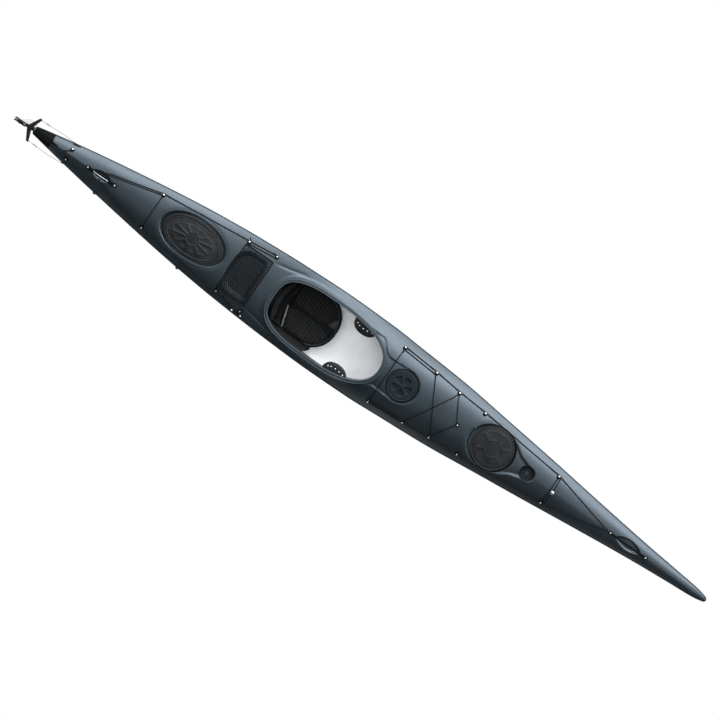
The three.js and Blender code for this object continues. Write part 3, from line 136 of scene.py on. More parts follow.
def deck_profile(x, edge_share):
    ridge = 0.3 * smooth(0.6, 0.8, share_at(x))
    stern_ridge = 0.95 * (1 - smooth(0.07, 0.13, share_at(x)))
    edge_share = np.clip(edge_share, 0, 1)
    return ((1 - ridge - stern_ridge) * (1 - edge_share ** 2.5) + ridge * (1 - edge_share ** 1.25)
            + stern_ridge * (1 - 0.45 * edge_share - 0.55 * edge_share ** 2.4))


def plain_deck_z(x, y):
    """Height of the deck without its recesses."""
    share = np.abs(y) / half_beam(x)
    return sheer_z(x) + FOREDECK_CROWN * station(share_at(x), 4) * deck_profile(x, share)


def deck_z(x, y):
    return float(plain_deck_z(x, y)[0])


def deck_normal(x, y):
    step = 0.005
    dx = (deck_z(x + step, y) - deck_z(x - step, y)) / (2 * step)
    dy = (deck_z(x, y + step) - deck_z(x, y - step)) / (2 * step)
    return Vector((-dx, -dy, 1)).normalized()


def on_deck(x, y, lift=0.0):
    return Vector((x, y, deck_z(x, y))) + deck_normal(x, y) * lift


def hull_power(x):
    return 1.45 + 1.15 * station(share_at(x), 1)


# Just under the keel
FLOOR_LEVEL = -0.002

# Places of the parts on the deck, in metres; wall is the width of a recess's sloping wall
REAR_HATCH = {"x": -1.382, "length": 0.432, "width": 0.248, "margin": 0.022, "floor": 0.262,
              "wall": 0.014, "rim": 0.0055}
FRONT_HATCH = {"x": 0.952, "length": 0.285, "width": 0.285, "margin": 0.012, "floor": 0.270,
               "aft_gap": 0.022, "wall": 0.012, "rim": 0.0055}
DAY_HATCH = {"x": 0.248, "length": 0.216, "width": 0.216, "margin": 0.0, "floor": 0.300,
             "wall": 0.008, "rim": 0.0225}
DAY_COVER = {"x": DAY_HATCH["x"], "length": 0.204, "width": 0.204}
COMPASS = {"x": 1.218, "diameter": 0.096, "depth": 0.031, "wall": 0.012}
NET = {"x": -0.978, "length": 0.214, "width": 0.340, "depth": 0.022, "margin": 0.014, "wall": 0.03}
COCKPIT = {"x": -0.340, "length": 0.812, "width": 0.394, "aft_power": 3.2, "fore_power": 2.35,
           "aft_height": 0.276, "fore_height": 0.348}
HANDLE_HOLLOW = {"depth": 0.016, "wall": 0.011}
NARROWING = {"depth": 0.012, "wall": 0.018}
PANEL = {"depth": 0.007, "wall": 0.009}
BOW_HANDLE = {"x": 2.002, "length": 0.270, "hollow": 0.038, "wide": 0.0072}
STERN_HANDLE = {"x": -2.081, "length": 0.204, "hollow": 0.031, "wide": 0.0118}
FITTINGS = {
    "stern": (-2.327, 0.034), "rear_aft": (-1.691, 0.122), "net_aft": (-1.074, 0.186),
    "net_fore": (-0.874, 0.208), "bungee_aft": (0.128, 0.205), "bungee_mid": (0.384, 0.188),
    "bungee_fore": (0.577, 0.168), "hatch_side": (0.785, 0.154), "fore": (1.398, 0.096),
}
CENTRE_FITTING = (0.680, 0.0)


def round_outline(centre_x, aft, fore, half_width, aft_power, fore_power, count):
    angle = np.linspace(0, 2 * math.pi, count, endpoint=False)
    c, s = np.cos(angle), np.sin(angle)
    power = np.where(c < 0, aft_power, fore_power)
    reach = np.where(c < 0, aft, fore)
    x = centre_x + np.sign(c) * reach * np.abs(c) ** (2 / power)
    y = np.sign(s) * half_width * np.abs(s) ** (2 / power)
    return np.stack([x, y], 1)


def cockpit_outline(count):
    half = COCKPIT["length"] / 2
    return round_outline(COCKPIT["x"], half, half, COCKPIT["width"] / 2,
                         COCKPIT["aft_power"], COCKPIT["fore_power"], count)


def outline_normals(points):
    along = np.roll(points, -1, 0) - np.roll(points, 1, 0)
    along /= np.linalg.norm(along, axis=1)[:, None]
    return np.stack([along[:, 1], -along[:, 0]], 1)


def coaming_z(x):
    share = np.clip((x - COCKPIT["x"] + COCKPIT["length"] / 2) / COCKPIT["length"], 0, 2)
    return COCKPIT["aft_height"] + (COCKPIT["fore_height"] - COCKPIT["aft_height"]) * share ** 1.7


def rounded_distance(x, y, centre, aft, fore, half, aft_power, fore_power):
    """Distance outside a rounded outline: below 0 inside it."""
    dx = x - centre
    reach = np.where(dx < 0, aft, fore)
    power = np.where(dx < 0, aft_power, fore_power)
    along, across = np.abs(dx / reach), np.abs(y / half)
    value = np.maximum((along ** power + across ** power) ** (1 / power), 1e-6)
    slope = value ** (1 - power) * np.hypot(along ** (power - 1) / reach, across ** (power - 1) / half)
    return (value - 1) / np.maximum(slope, 1e-6)


# Materials

class Wire:
    """Output of a shader node that takes part in arithmetic."""

    def __init__(self, nodes, socket):
        self.nodes = nodes
        self.socket = socket

    def calculate(self, operation, *values):
        return self.nodes.wire(0, "ShaderNodeMath", dict(enumerate(values)), operation=operation)

    def __add__(self, other):
        return self.calculate("ADD", self, other)

    def __sub__(self, other):
        return self.calculate("SUBTRACT", self, other)

    def __rsub__(self, other):
        return self.calculate("SUBTRACT", other, self)

    def __mul__(self, other):
        return self.calculate("MULTIPLY", self, other)

    __radd__ = __add__
    __rmul__ = __mul__

    def sine(self):
        return self.calculate("SINE", self)

    def maximum(self, other):
        return self.calculate("MAXIMUM", self, other)

    def below(self, limit):
        return self.calculate("LESS_THAN", self, limit)

    def step(self, low, high, start=0.0, end=1.0):
        """Smooth rise from start at low to end at high."""
        inputs = {"Value": self, "From Min": low, "From Max": high, "To Min": start, "To Max": end}
        return self.nodes.wire(0, "ShaderNodeMapRange", inputs, interpolation_type="SMOOTHSTEP")


class Nodes:
    """Node tree under construction."""

    def __init__(self, tree):
        self.tree = tree

    def feed(self, socket, value):
        if isinstance(value, Wire):
            self.tree.links.new(value.socket, socket)
        else:
            socket.default_value = value

    def node(self, kind, inputs=None, **settings):
        """New node: its settings first, then the values or links of its sockets."""
        node = self.tree.nodes.new(kind)
        for name, value in settings.items():
            setattr(node, name, value)
        for socket, value in (inputs or {}).items():
            self.feed(node.inputs[socket], value)
        return node

    def wire(self, output, kind, inputs=None, **settings):
        return Wire(self, self.node(kind, inputs, **settings).outputs[output])

    def coordinate(self, name="Object"):
        return self.wire(name, "ShaderNodeTexCoord")

    def parts(self, vector):
        return [Wire(self, output) for output in self.node("ShaderNodeSeparateXYZ", {0: vector}).outputs]

    def ray(self, kind):
        return self.wire(f"Is {kind} Ray", "ShaderNodeLightPath")

    def choose(self, factor, first, second, output):
        """Leads the first shader to the output where the factor is 0 and the second where it is 1."""
        chosen = self.wire(0, "ShaderNodeMixShader", {0: factor, 1: first, 2: second})
        self.feed(self.tree.nodes[output].inputs[0], chosen)


class Graph(Nodes):
    """Principled material under construction."""

    def __init__(self, name, colour, roughness, **constants):
        self.material = bpy.data.materials.new(name)
        self.material.use_nodes = True
        super().__init__(self.material.node_tree)
        self.shader = self.tree.nodes["Principled BSDF"]
        self.set("Base Color", (*colour[:3], 1))
        self.set("Roughness", roughness)
        for name, value in constants.items():
            self.set(name.replace("_", " "), value)
        self.normal = None

    def set(self, name, value):
        self.feed(self.shader.inputs[name], value)

    def attribute(self, name):
        return self.wire("Fac", "ShaderNodeAttribute", attribute_name=name)

    def noise(self, scale, detail=3.0, stretch=(1, 1, 1)):
        place = self.wire(0, "ShaderNodeMapping", {"Vector": self.coordinate(), "Scale": stretch})
        return self.wire(0, "ShaderNodeTexNoise", {"Vector": place, "Scale": scale, "Detail": detail})

    def mix(self, factor, first, second):
        ends = [value if isinstance(value, Wire) else (*value[:3], 1) for value in (first, second)]
        return self.wire(2, "ShaderNodeMix", {0: factor, 6: ends[0], 7: ends[1]}, data_type="RGBA")

    def bump(self, height, distance, strength=1.0):
        inputs = {"Distance": distance, "Strength": strength, "Height": height}
        if self.normal:
            inputs["Normal"] = self.normal
        self.normal = self.wire(0, "ShaderNodeBump", inputs)
        self.set("Normal", self.normal)


def shade(colour, factor):
    return [min(1.0, channel * factor) for channel in colour[:3]]


def lighter(colour, amount):
    return [channel + amount for channel in colour[:3]]


def plastic(name, colour, roughness, grain, grain_scale, dust=0.12, shine=0.3, tint=(1, 1, 1), top=None):
    """Moulded plastic with flow marks, grain, dust and scuffs; top is a height and the colour above it."""
    g = Graph(name, colour, roughness, Specular_IOR_Level=shine, Specular_Tint=(*tint, 1))
    flow = g.noise(5, 4, (1, 1, 1)).step(0.3, 0.7)
    speck = g.noise(260, 2).step(0.66, 0.78)
    scuff = g.noise(60, 3, (0.25, 3, 1)).step(0.68, 0.8)
    base = g.mix(flow, shade(colour, 0.92), shade(colour, 1.08))
    if top:
        base = g.mix(g.parts(g.coordinate())[2].step(top[0], top[0] + 0.002), base, top[1])
    settled = shade(colour, 0.8) if max(colour[:3]) > 0.2 else lighter(colour, 0.03)
    g.set("Base Color", g.mix((speck + scuff * 0.4) * dust, base, settled))
    g.set("Roughness", flow * 0.05 + speck * 0.2 + scuff * 0.15 + roughness)
    g.bump(g.noise(grain_scale, 2), grain)
    return g.material


def braid(name, colour, fleck=None, strands=8, pitch=3.0, roughness=0.6):
    """Woven cord cover from the tube's own length and turn: yarns both ways, stray flecks."""
    g = Graph(name, colour, roughness, Specular_IOR_Level=0.1)
    along, around, _ = g.parts(g.coordinate("UV"))
    left = (along * pitch + around * strands) * (2 * math.pi)
    right = (along * pitch - around * strands) * (2 * math.pi)
    weave = left.sine() * right.sine()
    fuzz = g.noise(1500, 2)
    # Darker in the dips of the weave and lighter on the yarns' crowns: painted shade and painted highlight.
    base = g.mix(weave.step(-0.6, 0.8), shade(colour, 0.5), shade(colour, 1.5))
    if fleck:
        bright = ((along * pitch + around * strands) * (math.pi / 2)).sine().step(0.86, 0.97)
        base = g.mix(bright * weave.step(-0.2, 0.4), base, fleck)
    g.set("Base Color", base)
    g.set("Roughness", fuzz * 0.2 + (roughness - 0.1))
    g.bump(weave, 0.0005, 0.8)
    g.bump(fuzz, 0.0001, 0.6)
    return g.material


def metal(name, colour, roughness, stretch=(1, 1, 12)):
    """Worn metal: fine brushing and a few duller patches."""
    g = Graph(name, colour, roughness, Metallic=1.0)
    lines = g.noise(300, 3, stretch)
    patch = g.noise(40, 3).step(0.45, 0.7)
    g.set("Base Color", g.mix(patch, colour, shade(colour, 0.82)))
    g.set("Roughness", lines * 0.12 + patch * 0.1 + (roughness - 0.08))
    g.bump(lines, 0.00004)
    return g.material


def fabric(name, colour, threads=1000, roughness=0.85):
    """Close weave with soft fuzz and uneven dye."""
    g = Graph(name, colour, roughness, Sheen_Weight=0.03, Specular_IOR_Level=0.15)
    x, y, z = g.parts(g.coordinate())
    weave = [((axis + z * 0.5) * (threads * math.pi)).sine() for axis in (x, y)]
    dye = g.noise(30, 4).step(0.3, 0.7)
    fuzz = g.noise(900, 2)
    base = g.mix(dye, shade(colour, 0.8), shade(colour, 1.2))
    base = g.mix(fuzz.step(0.55, 0.75), base, lighter(colour, 0.006))
    # Lighter where the seat pad's point attribute is set: painted highlight on the tops of its ridges, and a
    # lighter patch at its front.
    g.set("Base Color", g.mix(g.attribute("lit_ridges_and_patch") * 0.22, base, lighter(colour, 0.05)))
    g.set("Roughness", fuzz * 0.2 + (roughness - 0.1))
    g.bump(weave[0] * weave[1], 0.00025, 0.7)
    g.bump(fuzz, 0.0002, 0.5)
    return g.material


def rubber(name, colour, roughness=0.5):
    """Vulcanised rubber: matt bloom, moulding grain and lint."""
    g = Graph(name, colour, roughness, Specular_IOR_Level=0.22)
    bloom = g.noise(14, 5).step(0.35, 0.7)
    lint = g.noise(420, 2).step(0.69, 0.78)
    base = g.mix(bloom, colour, lighter(colour, 0.006))
    g.set("Base Color", g.mix(lint * 0.4, base, lighter(colour, 0.05)))
    g.set("Roughness", bloom * 0.12 + lint * 0.2 + (roughness - 0.05))
    g.bump(g.noise(700, 3), 0.00012)
    return g.material


MATERIALS = {}


def material(name):
    if name not in MATERIALS:
        MATERIALS[name] = MATERIAL_RECIPES[name](name, bpy.context.scene.kayak_finish)
    return MATERIALS[name]


DECK_TINT = (0.72, 0.86, 1.0)
MATERIAL_RECIPES = {
    "deck_plastic": lambda name, p: plastic(
        name, p.deck, p.gloss, 0.00005, 500, 0.1, p.shine, DECK_TINT),
    "coaming_plastic": lambda name, p: plastic(
        name, p.deck, 0.26, 0.00004, 600, 0.1, p.shine, DECK_TINT),
    "hull_plastic": lambda name, p: plastic(name, p.hull, 0.32, 0.00005, 500),
    "inner_plastic": lambda name, p: plastic(name, p.inner, 0.5, 0.0001, 300),
    "seam_plastic": lambda name, p: plastic(
        name, shade(p.deck, 0.8), 0.3, 0.00004, 600, 0.1, p.shine, DECK_TINT),
    "moulded_plastic": lambda name, p: plastic(name, p.trim, 0.4, 0.0001, 700),
    "lid_plastic": lambda name, p: plastic(
        name, shade(p.deck, 0.6), 0.5, 0.0001, 700, 0.1, 0.3, DECK_TINT),
    "fitting_plastic": lambda name, p: plastic(name, shade(p.trim, 0.6), 0.6, 0.0001, 700, 0.06, 0.06),
    "rail_aluminium": lambda name, p: metal(name, (0.62, 0.63, 0.65), 0.38, (0.1, 8, 8)),
    "dark_alloy": lambda name, p: metal(name, (0.032, 0.033, 0.030), 0.5, (8, 1, 8)),
    "blade_plastic": lambda name, p: plastic(
        name, shade(p.hull, 0.99), 0.45, 0.00008, 400, top=(0.345, p.trim)),
    # Lighter than the deck: the colour of a painted highlight along rolled edges.
    "rolled_edge": lambda name, p: plastic(name, p.edge, 0.22, 0.00003, 600, 0.1, p.shine, DECK_TINT),
    "steel": lambda name, p: metal(name, (0.72, 0.72, 0.71), 0.25),
    "hatch_rubber": lambda name, p: rubber(name, p.rubber),
    "seat_fabric": lambda name, p: fabric(name, p.seat),
    "cord": lambda name, p: braid(name, p.cord, (0.045, 0.047, 0.05), 6, 1.6),
    "bungee": lambda name, p: braid(name, p.cord, (0.03, 0.032, 0.034), 8, 2.2),
    "net_cord": lambda name, p: braid(name, p.cord, None, 4, 2.0),
    "rudder_line": lambda name, p: braid(name, p.line, None, 6, 2.0, 0.5),
    "webbing": lambda name, p: fabric(name, p.strap, 500, 0.7),
}


# Settings

def colour_property(**settings):
    return bpy.props.FloatVectorProperty(subtype="COLOR", size=3, **settings)


def length_property(**settings):
    return bpy.props.FloatProperty(unit="LENGTH", **settings)


def angle_property(**settings):
    return bpy.props.FloatProperty(unit="ROTATION", **settings)


def level_property(**settings):
    return bpy.props.FloatProperty(min=0, **settings)


class KayakFinish(bpy.types.PropertyGroup):
    """Colours, gloss and light."""
    deck: colour_property(
        name="Deck", description="Colour of the deck", default=(0.0115, 0.0165, 0.0195))
    hull: colour_property(
        name="Hull", description="Colour of the hull outside", default=(0.45, 0.456, 0.456))
    inner: colour_property(
        name="Inside", description="Colour of the inner faces", default=(0.9, 0.91, 0.92))
    trim: colour_property(
        name="Trim", description="Colour of the moulded trim", default=(0.006, 0.0065, 0.007))
    rubber: colour_property(
        name="Rubber", description="Colour of the hatch rubber", default=(0.0095, 0.011, 0.0125))
    seat: colour_property(
        name="Seat", description="Colour of the seat fabric", default=(0.005, 0.0055, 0.006))
    cord: colour_property(
        name="Cord", description="Colour of the deck lines", default=(0.006, 0.0063, 0.0066))
    line: colour_property(
        name="Rudder line", description="Colour of the rudder lines", default=(0.24, 0.22, 0.17))
    # Lighter than the deck, as a painted highlight on the rolled edges.
    edge: colour_property(
        name="Edges", description="Colour of the rolled edges", default=(0.05, 0.062, 0.072))
    strap: colour_property(
        name="Strap", description="Colour of the seat strap", default=(0.14, 0.145, 0.15))
    gloss: level_property(
        name="Deck roughness", description="Roughness of the deck", default=0.36, max=1)
    shine: level_property(
        name="Deck shine", description="Specular level of the deck", default=0.9, max=1)
    key: level_property(
        name="Key light", description="Power of the large light on the port side", default=320)
    lift: level_property(
        name="Lifting light",
        description="Power of the light above that opens the shadows inside the boat", default=75)
    fill: level_property(
        name="Port sky", description="Strength of the sky on the port side", default=2.1)
    dim: level_property(
        name="Starboard sky", description="Strength of the sky on the starboard side", default=0.08)


class KayakSizes(bpy.types.PropertyGroup):
    """Sizes of the fine parts."""
    camera_lens: bpy.props.FloatProperty(
        name="Lens", description="Focal length of the camera in millimetres", default=117.8)
    camera_lean: angle_property(
        name="Lean",
        description="Lean of the camera from straight above towards port", default=math.radians(7.58))
    view_turn: angle_property(
        name="Turn", description="Turn of the picture against the boat", default=math.radians(34.97))
    view_width: length_property(
        name="View width", description="Width of the picture at deck height", default=4.5852)
    view_x: length_property(
        name="View centre along",
        description="Place along the boat in the middle of the picture", default=-0.0652)
    view_y: length_property(
        name="View centre across",
        description="Place across the boat in the middle of the picture", default=-0.0186)
    wall: length_property(name="Wall", description="Thickness of the shells", default=0.005)
    cord_diameter: length_property(
        name="Deck line", description="Diameter of the deck lines", default=0.006)
    bungee_diameter: length_property(
        name="Bungee", description="Diameter of the elastic cords", default=0.006)
    net_diameter: length_property(
        name="Net cord", description="Diameter of the net's cord", default=0.003)
    line_diameter: length_property(
        name="Rudder line", description="Diameter of the rudder lines", default=0.003)


# Meshes

def link(obj):
    """Puts a new object into the scene."""
    bpy.context.scene.collection.objects.link(obj)
    return obj


def mesh_object(name, points, faces, materials, face_materials=None, uvs=None):
    """Object at the origin from plain lists of corners and faces."""
    mesh = bpy.data.meshes.new(name)
    mesh.from_pydata([tuple(point) for point in points], [], [tuple(face) for face in faces])
    for item in materials:
        mesh.materials.append(item)
    if face_materials is not None:
        mesh.polygons.foreach_set("material_index", np.asarray(face_materials, np.int32))
    if uvs is not None:
        layer = mesh.uv_layers.new(name="UVMap")
        layer.data.foreach_set("uv", np.asarray(uvs, np.float32).ravel())
    mesh.polygons.foreach_set("use_smooth", np.full(len(mesh.polygons), True))
    mesh.validate()
    mesh.update()
    return link(bpy.data.objects.new(name, mesh))


def baked(obj):
    """Applies every modifier, so that the piece is a plain mesh."""
    depsgraph = bpy.context.evaluated_depsgraph_get()
    mesh = bpy.data.meshes.new_from_object(obj.evaluated_get(depsgraph))
    obj.modifiers.clear()
    old = obj.data
    obj.data = mesh
    if old.users == 0:
        bpy.data.meshes.remove(old)
    return obj


def modified(obj, label, kind, **settings):
    """Object with one modifier set up and applied."""
    modifier = obj.modifiers.new(label, kind)
    for name, value in settings.items():
        setattr(modifier, name, value)
    return baked(obj)


@contextmanager
def edited(obj):
    """Mesh of an object, open for editing and written back afterwards."""
    bm = bmesh.new()
    bm.from_mesh(obj.data)
    yield bm
    bm.to_mesh(obj.data)
    bm.free()


def sharp_by_angle(obj, degrees):
    """Smooth shading that breaks at edges sharper than this."""
    limit = math.radians(degrees)
    with edited(obj) as bm:
        for edge in bm.edges:
            edge.smooth = len(edge.link_faces) == 2 and edge.calc_face_angle(0) < limit
        for face in bm.faces:
            face.smooth = True
    return obj


def outward(obj):
    with edited(obj) as bm:
        bmesh.ops.recalc_face_normals(bm, faces=bm.faces)
    return obj


def outward_open(obj, up=False):
    """Turns an open shell's faces away from the middle of the boat."""
    with edited(obj) as bm:
        bmesh.ops.recalc_face_normals(bm, faces=bm.faces)
        face = max(bm.faces, key=lambda f: f.calc_center_median().z if up else -f.calc_center_median().z)
        if (face.normal.z < 0) == up:
            bmesh.ops.reverse_faces(bm, faces=bm.faces)


def thicken(obj, thickness):
    """Wall inwards of the surface, with the second finish on its inner face."""
    modified(obj, "Wall", "SOLIDIFY", thickness=thickness, offset=-1, material_offset=1,
             material_offset_rim=0, use_even_offset=False)


def corners_of(obj):
    places = np.empty(len(obj.data.vertices) * 3)
    obj.data.vertices.foreach_get("co", places)
    return places.reshape(-1, 3)


def place_corners(obj, places):
    obj.data.vertices.foreach_set("co", places.ravel())
    obj.data.update()


def grid_faces(rows, columns, close_rows=False, close_columns=False):
    """Quads of a grid whose points run along the columns first."""
    faces = []
    for i in range(rows if close_rows else rows - 1):
        for j in range(columns if close_columns else columns - 1):
            a = i * columns + j
            b = i * columns + (j + 1) % columns
            c = ((i + 1) % rows) * columns + (j + 1) % columns
            d = ((i + 1) % rows) * columns + j
            faces.append((a, b, c, d))
    return faces


def capped_faces(rows, around):
    """Faces of a closed body: grid round its columns, with one face over each end."""
    caps = [tuple(range(around)), tuple(range((rows - 1) * around, rows * around))[::-1]]
    return grid_faces(rows, around, close_columns=True) + caps


def refined(name, nodes, finish, bevel, segments=2):
    """Copy of CAD nodes in one piece, with softened edges."""
    points, faces = [], []
    for node in nodes:
        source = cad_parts[node]
        start = len(points)
        points += [source.matrix_world @ v.co for v in source.data.vertices]
        faces += [[start + v for v in polygon.vertices] for polygon in source.data.polygons]
    obj = mesh_object(name, points, faces, [material(finish)])
    with edited(obj) as bm:
        bmesh.ops.remove_doubles(bm, verts=bm.verts, dist=1e-6)
        flat = math.radians(1)
        bmesh.ops.dissolve_limit(bm, angle_limit=flat, verts=bm.verts, edges=bm.edges, delimit={"MATERIAL"})
    modified(obj, "Soft edges", "BEVEL", width=bevel, segments=segments, limit_method="ANGLE",
             angle_limit=math.radians(28), harden_normals=False)
    return sharp_by_angle(obj, 50)


def smooth_path(points, step):
    """Centripetal curve through the points, cut into equal steps."""
    points = [Vector(p) for p in points]
    ends = [points[0] * 2 - points[1]] + points + [points[-1] * 2 - points[-2]]
    fine = []
    for p0, p1, p2, p3 in zip(ends, ends[1:], ends[2:], ends[3:]):
        t1 = max((p1 - p0).length, 1e-9) ** 0.5
        t2 = t1 + max((p2 - p1).length, 1e-9) ** 0.5
        t3 = t2 + max((p3 - p2).length, 1e-9) ** 0.5
        for k in range(12):
            t = t1 + (t2 - t1) * k / 12
            a1 = p0 * ((t1 - t) / t1) + p1 * (t / t1)
            a2 = p1 * ((t2 - t) / (t2 - t1)) + p2 * ((t - t1) / (t2 - t1))
            a3 = p2 * ((t3 - t) / (t3 - t2)) + p3 * ((t - t2) / (t3 - t2))
            b1 = a1 * ((t2 - t) / t2) + a2 * (t / t2)
            b2 = a2 * ((t3 - t) / (t3 - t1)) + a3 * ((t - t1) / (t3 - t1))
            fine.append(b1 * ((t2 - t) / (t2 - t1)) + b2 * ((t - t1) / (t2 - t1)))
    fine.append(points[-1])
    fine = np.array([list(p) for p in fine])
    lengths = np.concatenate([[0], np.cumsum(np.linalg.norm(np.diff(fine, axis=0), axis=1))])
    count = max(2, int(round(lengths[-1] / step)) + 1)
    wanted = np.linspace(0, lengths[-1], count)
    return np.stack([np.interp(wanted, lengths, fine[:, k]) for k in range(3)], 1)


def tube_data(path, radius, sides, start=0):
    """Corners, faces and UVs of a capped tube. U is the length in diameters, V the turn."""
    path = np.asarray(path, float)
    along = np.gradient(path, axis=0)
    along /= np.linalg.norm(along, axis=1)[:, None]
    side = np.cross(along[0], (0, 0, 1))
    if np.linalg.norm(side) < 1e-3:
        side = np.cross(along[0], (1, 0, 0))
    points, lengths = [], [0.0]
    for k, (place, direction) in enumerate(zip(path, along)):
        side = side - direction * np.dot(side, direction)
        side /= np.linalg.norm(side)
        up = np.cross(side, direction)
        if k:
            lengths.append(lengths[-1] + np.linalg.norm(place - path[k - 1]))
        for j in range(sides):
            angle = 2 * math.pi * j / sides
            points.append(place + radius * (math.cos(angle) * side + math.sin(angle) * up))
    faces = [tuple(start + v for v in face) for face in grid_faces(len(path), sides, close_columns=True)]
    uvs = []
    diameter = 2 * radius
    for i in range(len(path) - 1):
        u0, u1 = lengths[i] / diameter, lengths[i + 1] / diameter
        for j in range(sides):
            v0, v1 = j / sides, (j + 1) / sides
            uvs += [(u0, v0), (u0, v1), (u1, v1), (u1, v0)]
    for ring, flip in ((0, False), (len(path) - 1, True)):
        cap = [start + ring * sides + j for j in range(sides)]
        faces.append(tuple(cap[::-1] if not flip else cap))
        uvs += [(lengths[ring] / diameter, 0)] * sides
    return points, faces, uvs


def tubes(name, paths, diameter, material_name, sides=10):
    """One piece from several tubes."""
    points, faces, uvs = [], [], []
    for path in paths:
        more = tube_data(path, diameter / 2, sides, len(points))
        points += list(more[0])
        faces += more[1]
        uvs += more[2]
    return outward(mesh_object(name, points, faces, [material(material_name)], uvs=uvs))


def turned_data(profile, sides):
    """Ring of corners for each (radius, height) pair, turned about the upright axis."""
    angle = np.linspace(0, 2 * math.pi, sides, endpoint=False)
    points = [(r * math.cos(a), r * math.sin(a), z) for r, z in profile for a in angle]
    faces = grid_faces(len(profile), sides, close_columns=True)
    if profile[0][0] > 1e-6:
        faces.append(tuple(range(sides))[::-1])
    if profile[-1][0] > 1e-6:
        faces.append(tuple(range((len(profile) - 1) * sides, len(profile) * sides)))
    return points, faces


class Parts:
    """Collects shapes with their finishes into one piece."""

    def __init__(self):
        self.points, self.faces, self.slots, self.names = [], [], [], []

    def add(self, points, faces, finish, matrix=None):
        start = len(self.points)
        if finish not in self.names:
            self.names.append(finish)
        for point in points:
            self.points.append(matrix @ Vector(point) if matrix else Vector(point))
        self.faces += [tuple(start + v for v in face) for face in faces]
        self.slots += [self.names.index(finish)] * len(faces)

    def turned(self, profile, finish, matrix=None, sides=32):
        self.add(*turned_data(profile, sides), finish, matrix)

    def ring(self, profile, finish, matrix, sides):
        """Ring with the given closed section."""
        points, faces = turned_data([*profile, profile[0]], sides)
        self.add(points, [face for face in faces if len(face) == 4], finish, matrix)

    def tube(self, path, radius, finish, sides=10):
        points, faces, _ = tube_data(path, radius, sides)
        self.add(points, faces, finish)

    def piece(self, name, angle=40):
        obj = mesh_object(name, self.points, self.faces, [material(n) for n in self.names], self.slots)
        outward(obj)
        return sharp_by_angle(obj, angle)


def upright(place, normal):
    """Frame standing on a surface, its local Z along the normal."""
    turn = Vector((0, 0, 1)).rotation_difference(normal).to_matrix().to_4x4()
    return Matrix.Translation(place) @ turn


def upright_on_deck(x, y, lift=0.0):
    return upright(on_deck(x, y, lift), deck_normal(x, y))


def rounded_square(angle, power):
    """Place on a square with rounded corners, one unit from its middle."""
    return [math.copysign(abs(value) ** power, value) for value in (math.cos(angle), math.sin(angle))]


def finished(obj, body, *nodes, slot=None):
    """Piece that rides on a body, with the CAD nodes it replaces; the slot argument is not used."""
    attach(obj, body)
    if nodes:
        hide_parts(*nodes)
    return obj


# Stage

def area_light(name, place, aim, size, power):
    data = bpy.data.lights.new(name, "AREA")
    data.shape = "RECTANGLE"
    data.size, data.size_y = size
    data.energy = power
    obj = link(bpy.data.objects.new(name, data))
    direction = Vector(aim) - Vector(place)
    side = Vector((1, 0, 0))
    up = direction.cross(side).normalized()
    turn = Matrix((side, up, -direction.normalized())).transposed()
    obj.matrix_world = Matrix.Translation(place) @ turn.to_4x4()
    return obj


def surroundings(finish):
    """White backdrop below, and above it a soft sky that is bright to port and dim to starboard."""
    world = bpy.data.worlds.new("surroundings")
    world.use_nodes = True
    g = Nodes(world.node_tree)
    _, port, height = g.parts(g.coordinate("Generated"))
    sky = g.tree.nodes["Background"]
    g.feed(sky.inputs["Color"], (0.95, 0.98, 1, 1))
    g.feed(sky.inputs["Strength"], port.step(-0.55, 1.0, finish.dim, finish.fill))
    white = g.wire(0, "ShaderNodeBackground", {"Color": (1, 1, 1, 1), "Strength": 1.0})
    mirrored_below = g.ray("Glossy").maximum(g.ray("Transmission")) * height.below(-0.2)
    g.choose(g.ray("Camera").maximum(mirrored_below), Wire(g, sky.outputs[0]), white, "World Output")
    return world


def white_floor():
    """Floor under the boat, plain white wherever it is seen or mirrored."""
    g = Graph("floor_paint", (0.12, 0.12, 0.12), 0.8)
    seen = g.ray("Camera").maximum(g.ray("Glossy")).maximum(g.ray("Transmission"))
    g.choose(seen, Wire(g, g.shader.outputs[0]), g.wire(0, "ShaderNodeEmission"), "Material Output")
    corners = [(x, y, FLOOR_LEVEL) for x, y in ((-9, -7), (9, -7), (9, 7), (-9, 7))]
    return mesh_object("floor", corners, [(0, 1, 2, 3)], [g.material])


class KAYAK_OT_stage(bpy.types.Operator):
    """Camera above the boat, leaning a little to port, white floor and surroundings, and two broad lights"""
    bl_idname = "kayak.stage"
    bl_label = "Stage"

    def execute(self, context):
        scene = context.scene
        sizes, finish = scene.kayak_sizes, scene.kayak_finish
        lean, turn = sizes.camera_lean, sizes.view_turn
        back = Vector((0, math.sin(lean), math.cos(lean)))
        across = Vector((0, math.cos(lean), -math.sin(lean)))
        right = Vector((math.cos(turn), 0, 0)) + across * math.sin(turn)
        up = Vector((-math.sin(turn), 0, 0)) + across * math.cos(turn)
        data = bpy.data.cameras.new("camera")
        data.sensor_width = 36
        data.lens = sizes.camera_lens
        data.clip_end = 100
        camera = link(bpy.data.objects.new("camera", data))
        middle = Vector((sizes.view_x, sizes.view_y, 0.3))
        distance = sizes.view_width * sizes.camera_lens / data.sensor_width
        stand = Matrix((right, up, back)).transposed().to_4x4()
        camera.matrix_world = Matrix.Translation(middle + back * distance) @ stand
        scene.camera = camera
        scene.view_settings.view_transform = "Standard"

        scene.world = surroundings(finish)
        key = area_light("key_light", (0, 3.9, 2.4), (0, 0, 0.35), (7.5, 2.8), finish.key)
        lift = area_light("lifting_light", (0, 0.3, 4.5), (0, 0, 0.3), (6.0, 1.5), finish.lift)
        lift.visible_glossy = False
        white_floor()
        return {"FINISHED"}


def end_round(x):
    """Narrows both ends of the boat to a rounded stem and stern."""
    aft = np.clip((HALF_LENGTH + x) / 0.010, 0, 1)
    fore = np.clip((HALF_LENGTH - x) / 0.014, 0, 1)
    return np.sqrt(np.clip(1 - (1 - np.minimum(aft, fore)) ** 2, 0.12, 1))


